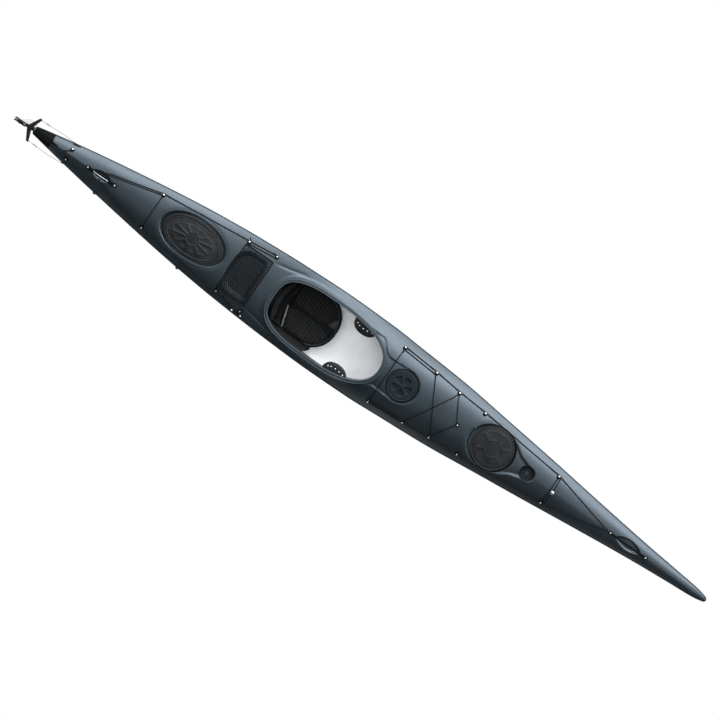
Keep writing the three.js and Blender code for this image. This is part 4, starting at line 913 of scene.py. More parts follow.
def stations_along(fine_ranges, fine, coarse):
    """Places along the boat, closer together in the given ranges and at the ends."""
    places, x = [-HALF_LENGTH], -HALF_LENGTH
    while x < HALF_LENGTH - 1e-9:
        end = HALF_LENGTH - abs(x)
        step = fine if any(a <= x <= b for a, b in fine_ranges) else coarse
        if end < 0.016 or x > HALF_LENGTH - 0.016:
            step = 0.002
        elif end < 0.1:
            step = 0.006
        x = min(x + step, HALF_LENGTH)
        places.append(x)
    return np.array(places)


def hull_section(x, count):
    """Corners of the hull from one edge under the keel to the other."""
    half = float(half_beam(x)[0]) * float(end_round(x))
    top, keel, power = float(sheer_z(x)[0]), float(keel_z(x)[0]), float(hull_power(x)[0])
    flat = min(KEEL_FLAT_WIDTH / 2 * float(station(share_at(x), 1)[0]), half * 0.5)
    angle = np.linspace(0, math.pi / 2, count)
    y = flat + (half - flat) * np.sin(angle) ** (2 / power)
    z = keel + (top - keel) * (1 - np.cos(angle) ** (2 / power))
    y = np.concatenate([[0], y])
    z = np.concatenate([[keel], z])
    return np.concatenate([np.stack([-y[::-1], z[::-1]], 1), np.stack([y[1:], z[1:]], 1)])


class KAYAK_OT_hull(bpy.types.Operator):
    """Lower shell with its white inner face"""
    bl_idname = "kayak.hull"
    bl_label = "Hull"

    def execute(self, context):
        places = stations_along([], 0.02, 0.03)
        sections = [hull_section(x, 26) for x in places]
        points = [(x, y, z) for x, section in zip(places, sections) for y, z in section]
        count = len(sections[0])
        faces = [face[::-1] for face in grid_faces(len(places), count)]
        for ring, order in ((0, 1), (len(places) - 1, -1)):
            faces.append(tuple(ring * count + j for j in range(count))[::order])
        obj = mesh_object("hull", points, faces, [material("hull_plastic"), material("inner_plastic")])
        outward_open(obj)
        thicken(obj, context.scene.kayak_sizes.wall)
        sharp_by_angle(obj, 50)
        finished(obj, "hull", "hull_shell", slot="hull_plastic")
        return {"FINISHED"}


# Recesses of the deck

def recess_blend(distance, width):
    """1 inside a recess, 0 outside, with a sloping wall between."""
    return np.clip(-distance / width, 0, 1)


def sunk(z, floor, distance, width):
    """Surface pressed down to a floor inside an edge."""
    return z + (np.minimum(floor, z) - z) * recess_blend(distance, width)


def hatch_edge(hatch):
    length, width = hatch["length"] / 2 + hatch["margin"], hatch["width"] / 2 + hatch["margin"]
    aft = length + hatch.get("aft_gap", 0.0)
    return lambda x, y: rounded_distance(x, y, hatch["x"], aft, length, width, 2, 2)


def handle_edge(handle):
    reach = handle["length"] * 0.34
    return lambda x, y: rounded_distance(x, y, handle["x"], reach, reach, handle["hollow"], 1.6, 1.6)


def compass_edge(x, y):
    return np.hypot(x - COMPASS["x"], y) - COMPASS["diameter"] / 2


def net_edge(x, y):
    half_x, half_y, margin = NET["length"] / 2, NET["width"] / 2, NET["margin"]
    return rounded_distance(x, y, NET["x"], half_x + margin, half_x - margin, half_y - margin, 2.6, 7)


def narrowing_edge(x, y):
    """Edge of the trough that narrows from the front hatch to the compass recess."""
    width = np.interp(x, [0.95, 1.064, 1.128, 1.191, 1.228], [0.15, 0.118, 0.076, 0.055, 0.048])
    return np.where(x > 1.228, np.hypot(x - 1.228, y) - 0.048, np.abs(y) - width)


def panel_edge(x, y):
    """Edge of the lower panel from the cockpit round the day hatch."""
    width = 0.112 + 0.081 * (1 - smooth(-0.03, 0.09, x)) + 0.006 * smooth(0.12, DAY_HATCH["x"], x)
    return np.where(x > DAY_HATCH["x"], np.hypot(x - DAY_HATCH["x"], y) - 0.118, np.abs(y) - width)


def cockpit_edge(x, y):
    half = COCKPIT["length"] / 2
    return rounded_distance(x, y, COCKPIT["x"], half, half, COCKPIT["width"] / 2,
                            COCKPIT["aft_power"], COCKPIT["fore_power"])


# Edges pressed into the deck, each with the width of its wall and the stretch of deck it is on
DECK_EDGES = (
    (hatch_edge(REAR_HATCH), REAR_HATCH["wall"], -1.7, -1.0),
    (hatch_edge(FRONT_HATCH), FRONT_HATCH["wall"], 0.7, 1.2),
    (hatch_edge(DAY_HATCH), DAY_HATCH["wall"], 0.1, 0.4),
    (compass_edge, COMPASS["wall"], 1.1, 1.3),
    (handle_edge(BOW_HANDLE), HANDLE_HOLLOW["wall"], 1.8, 2.2),
    (handle_edge(STERN_HANDLE), HANDLE_HOLLOW["wall"], -2.3, -1.9),
    (narrowing_edge, NARROWING["wall"], 1.0, 1.3),
    (panel_edge, PANEL["wall"], 0.07, 0.4),
    (net_edge, NET["wall"], -1.2, -0.8),
)


def deck_surface(x, y):
    """Height of the deck with its recesses, panels and creases."""
    z = plain_deck_z(x, y)
    base = z.copy()
    for hatch in (REAR_HATCH, FRONT_HATCH):
        distance = hatch_edge(hatch)(x, y)
        z = sunk(z, hatch["floor"], distance, hatch["wall"])
        # Soft shoulder around the recess
        z -= 0.003 * np.exp(-((distance - 0.004) / 0.012) ** 2) * (distance > -hatch["wall"])
    z -= NARROWING["depth"] * recess_blend(narrowing_edge(x, y), NARROWING["wall"]) * (x > 0.95)
    z = sunk(z, deck_z(COMPASS["x"], 0.0) - COMPASS["depth"], compass_edge(x, y), COMPASS["wall"])
    z -= PANEL["depth"] * recess_blend(panel_edge(x, y), PANEL["wall"]) * (x > COCKPIT["x"])
    z = sunk(z, DAY_HATCH["floor"], hatch_edge(DAY_HATCH)(x, y), DAY_HATCH["wall"])
    floor = np.minimum(base - 0.004, deck_z(NET["x"], 0.0) - NET["depth"])
    z = z + (floor - z) * recess_blend(net_edge(x, y), NET["wall"])
    for handle in (BOW_HANDLE, STERN_HANDLE):
        floor = deck_z(handle["x"], 0.0) - HANDLE_HOLLOW["depth"]
        z = sunk(z, floor, handle_edge(handle)(x, y), HANDLE_HOLLOW["wall"])
    # Creases from the corners of the net past the cockpit
    reach = smooth(-0.88, -0.80, x) * (1 - smooth(-0.72, -0.60, x))
    for _, side in SIDES:
        line = side * np.interp(x, [-0.87, -0.76, -0.66], [0.172, 0.192, 0.218])
        z -= 0.004 * np.exp(-((y - line) / 0.009) ** 2) * reach
    # Shoulder round the cockpit
    z += 0.004 * (1 - smooth(0.030, 0.046, cockpit_edge(x, y)))
    return z


def drawn_to(edge, offset, x, y, step_x, step_y):
    """Moves the points of the grid that are next to an edge onto it, so that the edge comes out smooth."""
    small = 1e-4
    distance = edge(x, y)
    slope_x = (edge(x + small, y) - edge(x - small, y)) / (2 * small)
    slope_y = (edge(x, y + small) - edge(x, y - small)) / (2 * small)
    near = 0.49 * np.maximum(np.abs(slope_x) * step_x, np.abs(slope_y) * step_y)
    move = np.where(np.abs(offset - distance) < near, offset - distance, 0.0)
    move = move / np.maximum(slope_x ** 2 + slope_y ** 2, 0.3)
    return x + move * slope_x, y + move * slope_y


class KAYAK_OT_deck(bpy.types.Operator):
    """Upper shell with its recesses and openings"""
    bl_idname = "kayak.deck"
    bl_label = "Deck"

    def execute(self, context):
        fine = [(-1.66, -0.62), (-0.04, 0.42), (0.78, 1.32), (-2.17, -1.99), (1.88, 2.12)]
        places = stations_along(fine, 0.007, 0.02)
        shares = np.linspace(-1, 1, 101)
        x = np.repeat(places, len(shares))
        half = half_beam(places) * end_round(places)
        y = np.repeat(half, len(shares)) * np.tile(shares, len(places))
        step_x, step_y = np.repeat(np.gradient(places), len(shares)), np.repeat(half / 50, len(shares))
        inner = np.tile(np.abs(shares) < 0.97, len(places))
        for edge, wall, aft, fore in DECK_EDGES:
            for offset in (0.0, -wall):
                moved = drawn_to(edge, offset, x, y, step_x, step_y)
                here = inner & (x > aft) & (x < fore)
                x, y = np.where(here, moved[0], x), np.where(here, moved[1], y)
        z = deck_surface(x, y)
        edge = np.tile(np.abs(shares) > 0.999, len(places))
        z = np.where(edge, sheer_z(x), z)
        obj = mesh_object("deck", np.stack([x, y, z], 1), grid_faces(len(places), len(shares)),
                          [material("deck_plastic"), material("inner_plastic")])
        outward_open(obj, up=True)
        thicken(obj, context.scene.kayak_sizes.wall)
        outlines = [cockpit_outline(160)]
        for hatch in (REAR_HATCH, FRONT_HATCH, DAY_HATCH):
            width = hatch["width"] / 2 - hatch["rim"] - 0.006
            length = hatch["length"] / hatch["width"] * width
            outlines.append(round_outline(hatch["x"], length, length, width, 2, 2, 96))
        cut_through(obj, outlines)
        sharp_by_angle(obj, 72)
        finished(obj, "hull", "deck_shell", slot="deck_plastic")
        return {"FINISHED"}


def cut_through(obj, outlines, low=-0.1, high=0.6):
    """Cuts upright holes with the given outlines."""
    points, faces = [], []
    for ring in outlines:
        start = len(points)
        points += [(x, y, z) for z in (low, high) for x, y in ring]
        faces += [tuple(start + v for v in face) for face in capped_faces(2, len(ring))]
    cutter = outward(mesh_object("cutter", points, faces, [obj.data.materials[0]]))
    modified(obj, "Holes", "BOOLEAN", operation="DIFFERENCE", solver="MANIFOLD", object=cutter)
    bpy.data.objects.remove(cutter)


class KAYAK_OT_seam(bpy.types.Operator):
    """Strip over the joint of the two shells, all round the boat"""
    bl_idname = "kayak.seam"
    bl_label = "Seam strip"

    def execute(self, context):
        places = stations_along([], 0.02, 0.025)
        port = [(x, float(half_beam(x)[0]) * float(end_round(x)), float(sheer_z(x)[0])) for x in places]
        loop = np.array(port + [(x, -y, z) for x, y, z in port[::-1]])
        flat = loop[:, :2]
        normals = outline_normals(flat)
        if np.mean(np.sum(normals * (flat - flat.mean(0)), 1)) < 0:
            normals = -normals
        profile = [(-0.0012, 0.0042), (0.0008, 0.0046), (0.0018, 0.0032), (0.0020, -0.0068),
                   (0.0014, -0.0086), (-0.0006, -0.0094), (-0.0022, -0.0090)]
        points = []
        for (x, y, z), normal in zip(loop, normals):
            points += [(x + normal[0] * out, y + normal[1] * out, z + up) for out, up in profile]
        faces = grid_faces(len(loop), len(profile), True, True)
        obj = outward(mesh_object("seam", points, faces, [material("seam_plastic")]))
        sharp_by_angle(obj, 60)
        finished(obj, "hull", "seam_strip", slot="seam_plastic")
        return {"FINISHED"}


class KAYAK_OT_coaming(bpy.types.Operator):
    """Cockpit rim with a rolled lip"""
    bl_idname = "kayak.coaming"
    bl_label = "Coaming"

    def execute(self, context):
        ring = cockpit_outline(168)
        normals = outline_normals(ring)
        lip, drop, wall = 0.024, 0.009, 0.005
        points = []
        for (x, y), (nx, ny) in zip(ring, normals):
            top = float(coaming_z(x))
            bottom = min(deck_z(x + nx * wall, y + ny * wall) - 0.018, top - 2 * drop)
            profile = [(0.0, bottom), (0.0, top - 0.008), (0.0006, top - 0.0035), (0.0026, top - 0.0008),
                       (0.006, top), (0.012, top + 0.0002), (0.018, top - 0.0006), (0.0218, top - 0.0024),
                       (0.0236, top - 0.0050), (lip, top - drop + 0.0008), (lip - 0.0014, top - drop),
                       (lip - 0.0038, top - drop + 0.0006), (lip - 0.0048, top - 0.0062),
                       (0.0095, top - 0.0054), (0.0066, top - 0.0070), (wall, top - 0.0105), (wall, bottom)]
            points += [(x + nx * out, y + ny * out, z) for out, z in profile]
        faces = grid_faces(len(ring), len(profile), True, True)
        obj = outward(mesh_object("coaming_rim", points, faces, [material("coaming_plastic")]))
        sharp_by_angle(obj, 55)
        finished(obj, "hull", "coaming", slot="deck_plastic")
        # Beads along the lip's two rolled edges, coloured lighter than the deck as a painted highlight.
        highlight_beads = []
        for out, below in ((0.0034, 0.0010), (0.0214, 0.0026)):
            loop = [(x + nx * out, y + ny * out, float(coaming_z(x)) - below)
                    for (x, y), (nx, ny) in zip(ring, normals)]
            highlight_beads.append(np.array(loop + loop[:2]))
        finished(tubes("coaming_beads", highlight_beads, 0.0046, "rolled_edge", 10), "hull", slot="deck_plastic")
        return {"FINISHED"}


def polar_cover(name, hatch, height_at, skirt_z, finish, rings=44, around=160, thickness=0.004):
    """Domed cover from its height over share of radius and angle, with a rolled edge and a skirt."""
    half_x, half_y = hatch["length"] / 2, hatch["width"] / 2
    angle = np.linspace(0, 2 * math.pi, around, endpoint=False)
    rows = [(share, height_at(np.full(around, share), angle)) for share in np.linspace(0.012, 0.965, rings)]
    edge, skirt = rows[-1][1], np.full(around, skirt_z)
    rows += [(0.982, edge - 0.0006), (0.994, edge - 0.0022), (1.0, edge - 0.0048), (1.0, skirt + 0.003),
             (0.996, skirt), (0.972, skirt), (0.968, skirt + 0.002), (0.962, edge - thickness - 0.002),
             (0.90, edge - thickness), (0.5, rows[rings // 2][1] - thickness - 0.003),
             (0.02, rows[0][1] - thickness)]
    points = [(hatch["x"] + half_x * s * math.cos(a), half_y * s * math.sin(a), z)
              for s, zs in rows for a, z in zip(angle, zs)]
    obj = outward(mesh_object(name, points, capped_faces(len(rows), around), [material(finish)]))
    return sharp_by_angle(obj, 50)


# Top of a hatch rim above its recess floor, and the play between rim, seal and cover
COVER_GAP = 0.0003
RIM_HEIGHT = COVER_GAP + 0.012


def bead(value, centre, width, height):
    return height * np.exp(-((value - centre) / width) ** 2)


class KAYAK_OT_hatch_covers(bpy.types.Operator):
    """Snap-on rubber covers of the two large hatches, with rings, spokes and a boss"""
    bl_idname = "kayak.hatch_covers"
    bl_label = "Hatch covers"

    def execute(self, context):
        outer = (0.955, 0.014, 0.0026)
        # Rings as share of radius, width and height; then the spokes' count, turn, start, end and height
        covers = (
            ("rear_hatch", REAR_HATCH,
             (outer, (0.915, 0.014, -0.0030), (0.875, 0.013, 0.0032), (0.835, 0.016, -0.0016)),
             (10, 0.5, 0.36, 0.97, 0.0036)),
            ("front_hatch", FRONT_HATCH, (outer, (0.915, 0.014, -0.0028), (0.78, 0.014, 0.0024)),
             (6, 0.45, 0.42, 0.77, 0.0026)),
        )
        for name, hatch, rings, spokes in covers:
            edge = hatch["floor"] + RIM_HEIGHT + COVER_GAP + 0.005

            def height_at(share, angle, edge=edge, rings=rings, spokes=spokes, hatch=hatch):
                z = edge + 0.014 * (1 - share ** 2)
                for ring in rings:
                    z = z + bead(share, *ring)
                count, phase, start, end, height = spokes
                inner = share
                if hatch is REAR_HATCH:
                    inner = share / (0.72 - 0.11 * np.abs(np.sin(angle)) ** 0.8)
                    z = z + bead(inner, 1.0, 0.022, 0.0034)
                boss = share * np.hypot(np.cos(angle) * hatch["length"] / hatch["width"], np.sin(angle))
                z = z + bead(boss, start - 0.03, 0.024, height - 0.0002)
                turn = np.mod(angle * count / (2 * math.pi) + 0.5 - phase, 1) - 0.5
                spoke = np.exp(-(turn * np.maximum(share, 0.05) * 100 / count) ** 2)
                reach = smooth(start - 0.03, start, boss) * (1 - smooth(end, end + 0.03, inner))
                return z + spoke * height * reach

            obj = polar_cover(name + "_lid", hatch, height_at, hatch["floor"] + 0.0008, "hatch_rubber")
            finished(obj, name, name + "_cover", slot="hatch_rubber")
        return {"FINISHED"}


class KAYAK_OT_day_hatch(bpy.types.Operator):
    """Round screw hatch: cover with five finger hollows and its seal, over the ring and well"""
    bl_idname = "kayak.day_hatch"
    bl_label = "Day hatch"

    def execute(self, context):
        ring_top = DAY_HATCH["floor"] + RIM_HEIGHT
        seal_top = ring_top + COVER_GAP + 0.003
        top = seal_top + COVER_GAP + 0.009

        def height_at(share, angle):
            z = np.full_like(share, top - 0.0012) + 0.0012 * (1 - share ** 2)
            radius = share * DAY_COVER["length"] / 2
            for turn in np.arange(5) * (2 * math.pi / 5):
                along = np.where(np.cos(angle - turn) > 0, radius * np.cos(angle - turn) - 0.042, 1.0)
                half = 0.0195 + 0.009 * np.clip(along / 0.024, -1, 1)
                hollow = rounded_distance(along, radius * np.sin(angle - turn), 0, 0.026, 0.024, half, 2.2, 3)
                z = z - 0.011 * (1 - smooth(-0.006, 0.0005, hollow))
            for ring in ((0.93, 0.012, 0.0010), (0.87, 0.010, -0.0012), (0.0, 0.10, 0.0012)):
                z = z + bead(share, *ring)
            return z

        obj = polar_cover("day_hatch_lid", DAY_COVER, height_at, seal_top + 0.0004, "lid_plastic",
                          rings=64, around=200, thickness=0.0028)
        finished(obj, "pod_cover", "pod_hatch_cover", slot="moulded_plastic")
        seal = [(0.0862, ring_top + 0.0006), (0.0972, ring_top + 0.0006), (0.0977, ring_top + 0.0020),
                (0.0972, seal_top), (0.0862, seal_top), (0.0858, ring_top + 0.0020)]
        parts = Parts()
        parts.ring(seal, "hatch_rubber", Matrix.Translation((DAY_HATCH["x"], 0, 0)), 96)
        finished(parts.piece("day_hatch_seal", 50), "pod_cover", "pod_hatch_seal", slot="hatch_rubber")
        return {"FINISHED"}


class KAYAK_OT_inner_parts(bpy.types.Operator):
    """Rims, bulkheads, well, rails and pedals inside the boat, with softened edges"""
    bl_idname = "kayak.inner_parts"
    bl_label = "Inner parts"

    def execute(self, context):
        rims, walls = ("rear_hatch_rim", "front_hatch_rim", "pod_well"), ("front_bulkhead", "rear_bulkhead")
        groups = (
            ("hatch_rims", "hull", "moulded_plastic", "moulded_plastic", rims),
            ("bulkheads", "hull", "inner_plastic", "hull_plastic", walls),
            ("foot_rails", "hull", "rail_aluminium", "aluminium", ("foot_rail_port", "foot_rail_starboard")),
            ("pedal_port", "pedal_port", "moulded_plastic", "moulded_plastic", ("foot_pedal_port",)),
            ("pedal_starboard", "pedal_starboard", "moulded_plastic", "moulded_plastic",
             ("foot_pedal_starboard",)),
        )
        for name, body, finish, slot, nodes in groups:
            obj = refined(name, nodes, finish, 0.0012 if "pedal" in name else 0.0006)
            finished(obj, body, *nodes, slot=slot)
        return {"FINISHED"}


# Profiles of small turned parts, as radius and height
HANDLE_FOOT = [(0.0140, 0), (0.0143, 0.003), (0.0128, 0.0078), (0.0098, 0.0098), (0.0005, 0.0102)]
HANDLE_BOLT = [(0.0070, 0.0095), (0.0070, 0.0112), (0.0060, 0.0128), (0.0040, 0.0134), (0.0034, 0.0130),
               (0.0004, 0.0128)]
FITTING_BASE = [(0.0140, 0.0), (0.0142, 0.0012), (0.0134, 0.0026), (0.0110, 0.0033), (0.0064, 0.0036),
                (0.0052, 0.0046), (0.0050, 0.0080), (0.0056, 0.0108), (0.0092, 0.0130), (0.0102, 0.0142),
                (0.0102, 0.0150), (0.0090, 0.0160), (0.0062, 0.0163), (0.0006, 0.0163)]
FITTING_BOLT = [(0.0060, 0.0158), (0.0061, 0.0172), (0.0054, 0.0186), (0.0036, 0.0193), (0.0031, 0.0190),
                (0.0029, 0.0172), (0.0004, 0.0170)]
BRACE_SCREW = [(0.0046, 0), (0.0046, 0.0008), (0.0036, 0.0022), (0.0016, 0.0028), (0.0014, 0.0016),
               (0.0003, 0.0015)]
EDGE_BUMP = [(0.0115, 0), (0.0118, 0.003), (0.0098, 0.0078), (0.0060, 0.0100), (0.0004, 0.0106)]
EDGE_CLIP = [(0.0072, 0), (0.0074, 0.004), (0.0066, 0.0105), (0.0044, 0.0128), (0.0004, 0.0132)]
CORD_BEAD = [(0.0142, 0), (0.0145, 0.002), (0.0130, 0.0072), (0.0088, 0.0106), (0.0040, 0.0122),
             (0.0004, 0.0125)]


class KAYAK_OT_handles(bpy.types.Operator):
    """Carry handles: bowed grips on two bolts over finger hollows"""
    bl_idname = "kayak.handles"
    bl_label = "Carry handles"

    def execute(self, context):
        rows, around = 40, 16
        for name, handle in (("bow_handle", BOW_HANDLE), ("stern_handle", STERN_HANDLE)):
            half = handle["length"] / 2
            points = []
            for i in range(rows + 1):
                t = i / rows
                x = handle["x"] - half + 2 * half * t
                rise = 0.024 * math.sin(math.pi * t) ** 0.7 if 0 < t < 1 else 0
                centre = deck_z(x, 0.0) + 0.0045 + rise
                grip = smooth(0.18, 0.3, t) * (1 - smooth(0.7, 0.82, t))
                wide = handle["wide"] - 0.0006 * grip + 0.0012 * (1 - smooth(0.0, 0.10, min(t, 1 - t)))
                thick = 0.0030 + 0.0012 * grip + 0.0002 * math.sin(150 * t) * grip
                for k in range(around):
                    side, up = rounded_square(2 * math.pi * k / around, 0.7)
                    points.append((x, wide * side, centre + thick * up))
            parts = Parts()
            parts.add(points, capped_faces(rows + 1, around), "fitting_plastic")
            # Light aluminium strip along the top of the stern grip, as a painted highlight line.
            if handle is STERN_HANDLE:
                highlight_strip = np.array(points[4::around])[9:-9] + np.array([0, 0, 0.0006])
                parts.tube(highlight_strip, 0.0024, "rail_aluminium", 10)
            for end in (-half, half):
                stand = upright_on_deck(handle["x"] + end, 0.0, 0.0012)
                parts.turned(HANDLE_FOOT, "fitting_plastic", stand)
                parts.turned(HANDLE_BOLT, "steel", stand, 20)
            finished(parts.piece(name + "_grip"), "hull", name, slot="moulded_plastic")
        return {"FINISHED"}


def fitting_places():
    """Node name and place of every deck fitting."""
    places = [(f"deck_fitting_{name}_{side_name}", x, side * y)
              for name, (x, y) in FITTINGS.items() for side_name, side in SIDES]
    return [*places, ("deck_fitting_centre", *CENTRE_FITTING)]


def instanced(name, feet, shape, finish, body, replaced, slot):
    """One piece of many like parts, set out by a node group on upright feet."""
    points = bpy.data.meshes.new(name + "_feet")
    points.from_pydata([tuple(place) for place, _ in feet], [], [])
    normals = points.attributes.new("stand", "FLOAT_VECTOR", "POINT")
    normals.data.foreach_set("vector", np.array([list(normal) for _, normal in feet], np.float32).ravel())
    obj = link(bpy.data.objects.new(name, points))

    group = bpy.data.node_groups.new(name + "_set", "GeometryNodeTree")
    socket = group.interface.new_socket
    sockets = {}
    for label, kind in (("Geometry", "Geometry"), ("Shape", "Object"), ("Size", "Float"),
                        ("Finish", "Material"), ("Seed", "Int")):
        sockets[label] = socket(label, in_out="INPUT", socket_type="NodeSocket" + kind)
    socket("Geometry", in_out="OUTPUT", socket_type="NodeSocketGeometry")
    g = Nodes(group)
    start = g.node("NodeGroupInput")
    given = {label: Wire(g, start.outputs[label]) for label in sockets}
    shown = {"Object": given["Shape"]}
    copy = g.wire("Geometry", "GeometryNodeObjectInfo", shown, transform_space="ORIGINAL")
    stand = g.wire(0, "GeometryNodeInputNamedAttribute", {"Name": "stand"}, data_type="FLOAT_VECTOR")
    aligned = g.wire(0, "FunctionNodeAlignRotationToVector", {"Vector": stand}, axis="Z")
    span = {2: 0.0, 3: math.tau, "Seed": given["Seed"]}
    turn = g.wire(1, "FunctionNodeRandomValue", span, data_type="FLOAT")
    spin = g.wire(0, "FunctionNodeAxisAngleToRotation", {"Angle": turn})
    rotation = g.wire(0, "FunctionNodeRotateRotation", {0: aligned, 1: spin}, rotation_space="LOCAL")
    placed = g.wire(0, "GeometryNodeInstanceOnPoints", {
        "Points": given["Geometry"], "Instance": copy, "Scale": given["Size"], "Rotation": rotation})
    real = g.wire(0, "GeometryNodeRealizeInstances", {0: placed})
    painted = g.wire(0, "GeometryNodeSetMaterial", {"Geometry": real, "Material": given["Finish"]})
    g.node("NodeGroupOutput", {0: painted})

    modifier = obj.modifiers.new("Set out", "NODES")
    modifier.node_group = group
    for label, value in (("Shape", shape), ("Size", 1.0), ("Finish", material(finish)), ("Seed", 7)):
        modifier[sockets[label].identifier] = value
    baked(obj)
    bpy.data.objects.remove(shape)
    sharp_by_angle(obj, 40)
    return finished(obj, body, *replaced, slot=slot)


class KAYAK_OT_fittings(bpy.types.Operator):
    """Deck fittings: round base, post for the cord, cap and bright bolt"""
    bl_idname = "kayak.fittings"
    bl_label = "Deck fittings"

    def execute(self, context):
        places = fitting_places()
        feet = [(on_deck(x, y, 0.0006), deck_normal(x, y)) for _, x, y in places]
        nodes = [name for name, _, _ in places]
        for name, profile, finish, sides, replaced, slot in (
                ("deck_fittings", FITTING_BASE, "fitting_plastic", 32, nodes, "moulded_plastic"),
                ("fitting_bolts", FITTING_BOLT, "steel", 24, (), "steel")):
            parts = Parts()
            parts.turned(profile, finish, sides=sides)
            instanced(name, feet, parts.piece(name + "_shape"), finish, "hull", replaced, slot)
        return {"FINISHED"}


# Runs of cord over the deck

POST = 0.005
CORD_LIFT = 0.0006


def run_over(places, diameter, spacing, bumps=None, rise=0.0052):
    """Path over the deck through places (x, y), rising to the fittings at both ends of each run."""
    points = []
    for k, (a, b) in enumerate(zip(places, places[1:])):
        distance = math.hypot(b[0] - a[0], b[1] - a[1])
        count = max(3, int(round(distance / spacing)))
        for i in range(1 if k else 0, count + 1):
            t = i / count
            x, y = a[0] + (b[0] - a[0]) * t, a[1] + (b[1] - a[1]) * t
            lift = rise * abs(2 * t - 1) ** 6
            if bumps and k in bumps:
                lift += bumps[k] * max(0.0, 1 - abs(t - 0.5) * 6)
            z = max(float(deck_surface(np.array([x]), np.array([y]))[0]), deck_z(x, y) - 0.004)
            points.append(Vector((x, y, z)) + deck_normal(x, y) * (diameter / 2 + CORD_LIFT + lift))
    return points


def beside(name, side, out, diameter):
    x, y = FITTINGS[name]
    return (x, side * (y + out * (POST + diameter / 2 + CORD_LIFT)))


class KAYAK_OT_deck_lines(bpy.types.Operator):
    """Perimeter lines and elastic cords over the deck"""
    bl_idname = "kayak.deck_lines"
    bl_label = "Deck lines"

    def execute(self, context):
        sizes = context.scene.kayak_sizes
        line, bungee = sizes.cord_diameter, sizes.bungee_diameter
        front_names = ["bungee_aft", "bungee_mid", "bungee_fore", "hatch_side", "fore"]
        bow_end = (BOW_HANDLE["x"] - BOW_HANDLE["length"] / 2 - 0.02, 0.0)
        front = ([beside(n, 1, 1, line) for n in front_names] + [bow_end]
                 + [beside(n, -1, 1, line) for n in front_names[::-1]])
        rear_names = ["net_fore", "net_aft", "rear_aft"]
        stern_end = [(STERN_HANDLE["x"] + 0.051, 0.047), (STERN_HANDLE["x"] - 0.008, 0.0245)]
        rear = [[beside(n, side, 1, line) for n in rear_names] + [(x, side * y) for x, y in stern_end]
                for side in (1, -1)]
        self.lay("front_deck_line", [front], line, "cord", 0.05, 0.006)
        self.lay("rear_deck_line", rear, line, "cord", 0.05, 0.006)

        centre = (CENTRE_FITTING[0] - POST - bungee / 2 - CORD_LIFT, 0.0)
        laced = [beside("bungee_aft", 1, -1, bungee), beside("bungee_aft", -1, -1, bungee),
                 beside("bungee_mid", -1, -1, bungee), beside("bungee_fore", 1, -1, bungee), centre,
                 beside("bungee_fore", -1, -1, bungee), beside("bungee_mid", 1, -1, bungee)]
        crossing = (bungee + 0.0008) * 1.6
        self.lay("front_bungee", [laced], bungee, "bungee", 0.035, 0.005, {5: crossing})
        for name, fitting in (("fore_cross_bungee", "fore"), ("rear_cross_bungee", "rear_aft")):
            ends = [beside(fitting, side, -1, bungee) for side in (1, -1)]
            self.lay(name, [ends], bungee, "bungee", 0.03, 0.005)
        first, last = [beside("stern", side, -1, bungee) for side in (1, -1)]
        tip = (first[0] - 0.037, 0.0)
        vee = [(first[0] - 0.003, first[1] * 0.93), tip, (last[0] - 0.003, last[1] * 0.93)]
        self.lay("stern_bungee", [vee], bungee, "bungee", 0.011, 0.003)
        return {"FINISHED"}

    def lay(self, node, runs, diameter, finish, spacing, step, bumps=None):
        """One CAD line laid over the deck through the places of its runs."""
        paths = [smooth_path(run_over(places, diameter, spacing, bumps), step) for places in runs]
        finished(tubes(node + "_lay", paths, diameter, finish), "hull", node, slot="cord")


class KAYAK_OT_net(bpy.types.Operator):
    """Knotted net over its hollow behind the cockpit"""
    bl_idname = "kayak.net"
    bl_label = "Net pocket"

    def execute(self, context):
        diameter = context.scene.kayak_sizes.net_diameter
        rows, columns = 28, 28
        half_x, half_y = NET["length"] / 2 - diameter / 2, NET["width"] / 2 - diameter / 2

        def level(x, y, lift=0.0):
            sag = 0.0035 * (1 - (abs(x - NET["x"]) / half_x) ** 2) * (1 - (abs(y) / half_y) ** 2)
            return on_deck(x, y, diameter / 2 + 0.0008 - sag + lift)

        def knot_at(i, j, lift=0.0):
            return level(NET["x"] - half_x + 2 * half_x * i / rows, -half_y + 2 * half_y * j / columns, lift)

        paths = []
        for start in range(-rows, columns + 1, 2):
            steps = [i for i in range(rows + 1) if 0 <= start + i <= columns]
            if len(steps) < 2:
                continue
            for turn in (1, -1):
                strand = []
                for i in steps:
                    column = start + i if turn == 1 else columns - start - i
                    strand.append(knot_at(i, column, 0.0008 * turn * (-1) ** i))
                paths.append(smooth_path(strand, 0.006))
        obj = tubes("net_strands", paths, diameter * 1.1, "net_cord", 6)
        finished(obj, "hull", "net_pocket", slot="cord")

        knot = mesh_object("knot_shape", [], [], [])
        with edited(knot) as bm:
            bmesh.ops.create_icosphere(bm, subdivisions=1, radius=diameter * 0.95)
        feet = [(knot_at(i, j), Vector((0, 0, 1)))
                for i in range(rows + 1) for j in range(columns + 1) if (i + j) % 2 == 0]
        instanced("net_knots", feet, knot, "net_cord", "hull", (), "cord")

        corners = [(NET["x"] + sx * half_x, sy * half_y) for sx, sy in ((-1, -1), (1, -1), (1, 1), (-1, 1))]
        border = []
        for (x0, y0), (x1, y1) in zip(corners, corners[1:] + corners[:1]):
            border += [level(x0 + (x1 - x0) * t, y0 + (y1 - y0) * t, 0.0006)
                       for t in np.linspace(0, 1, 16)[:-1]]
        border = np.array([list(place) for place in border + border[:1]])
        obj = tubes("net_border", [border], diameter * 2.3, "net_cord", 8)
        finished(obj, "hull", slot="cord")
        return {"FINISHED"}


# Seat and back band

SOFT_REACH = 0.008


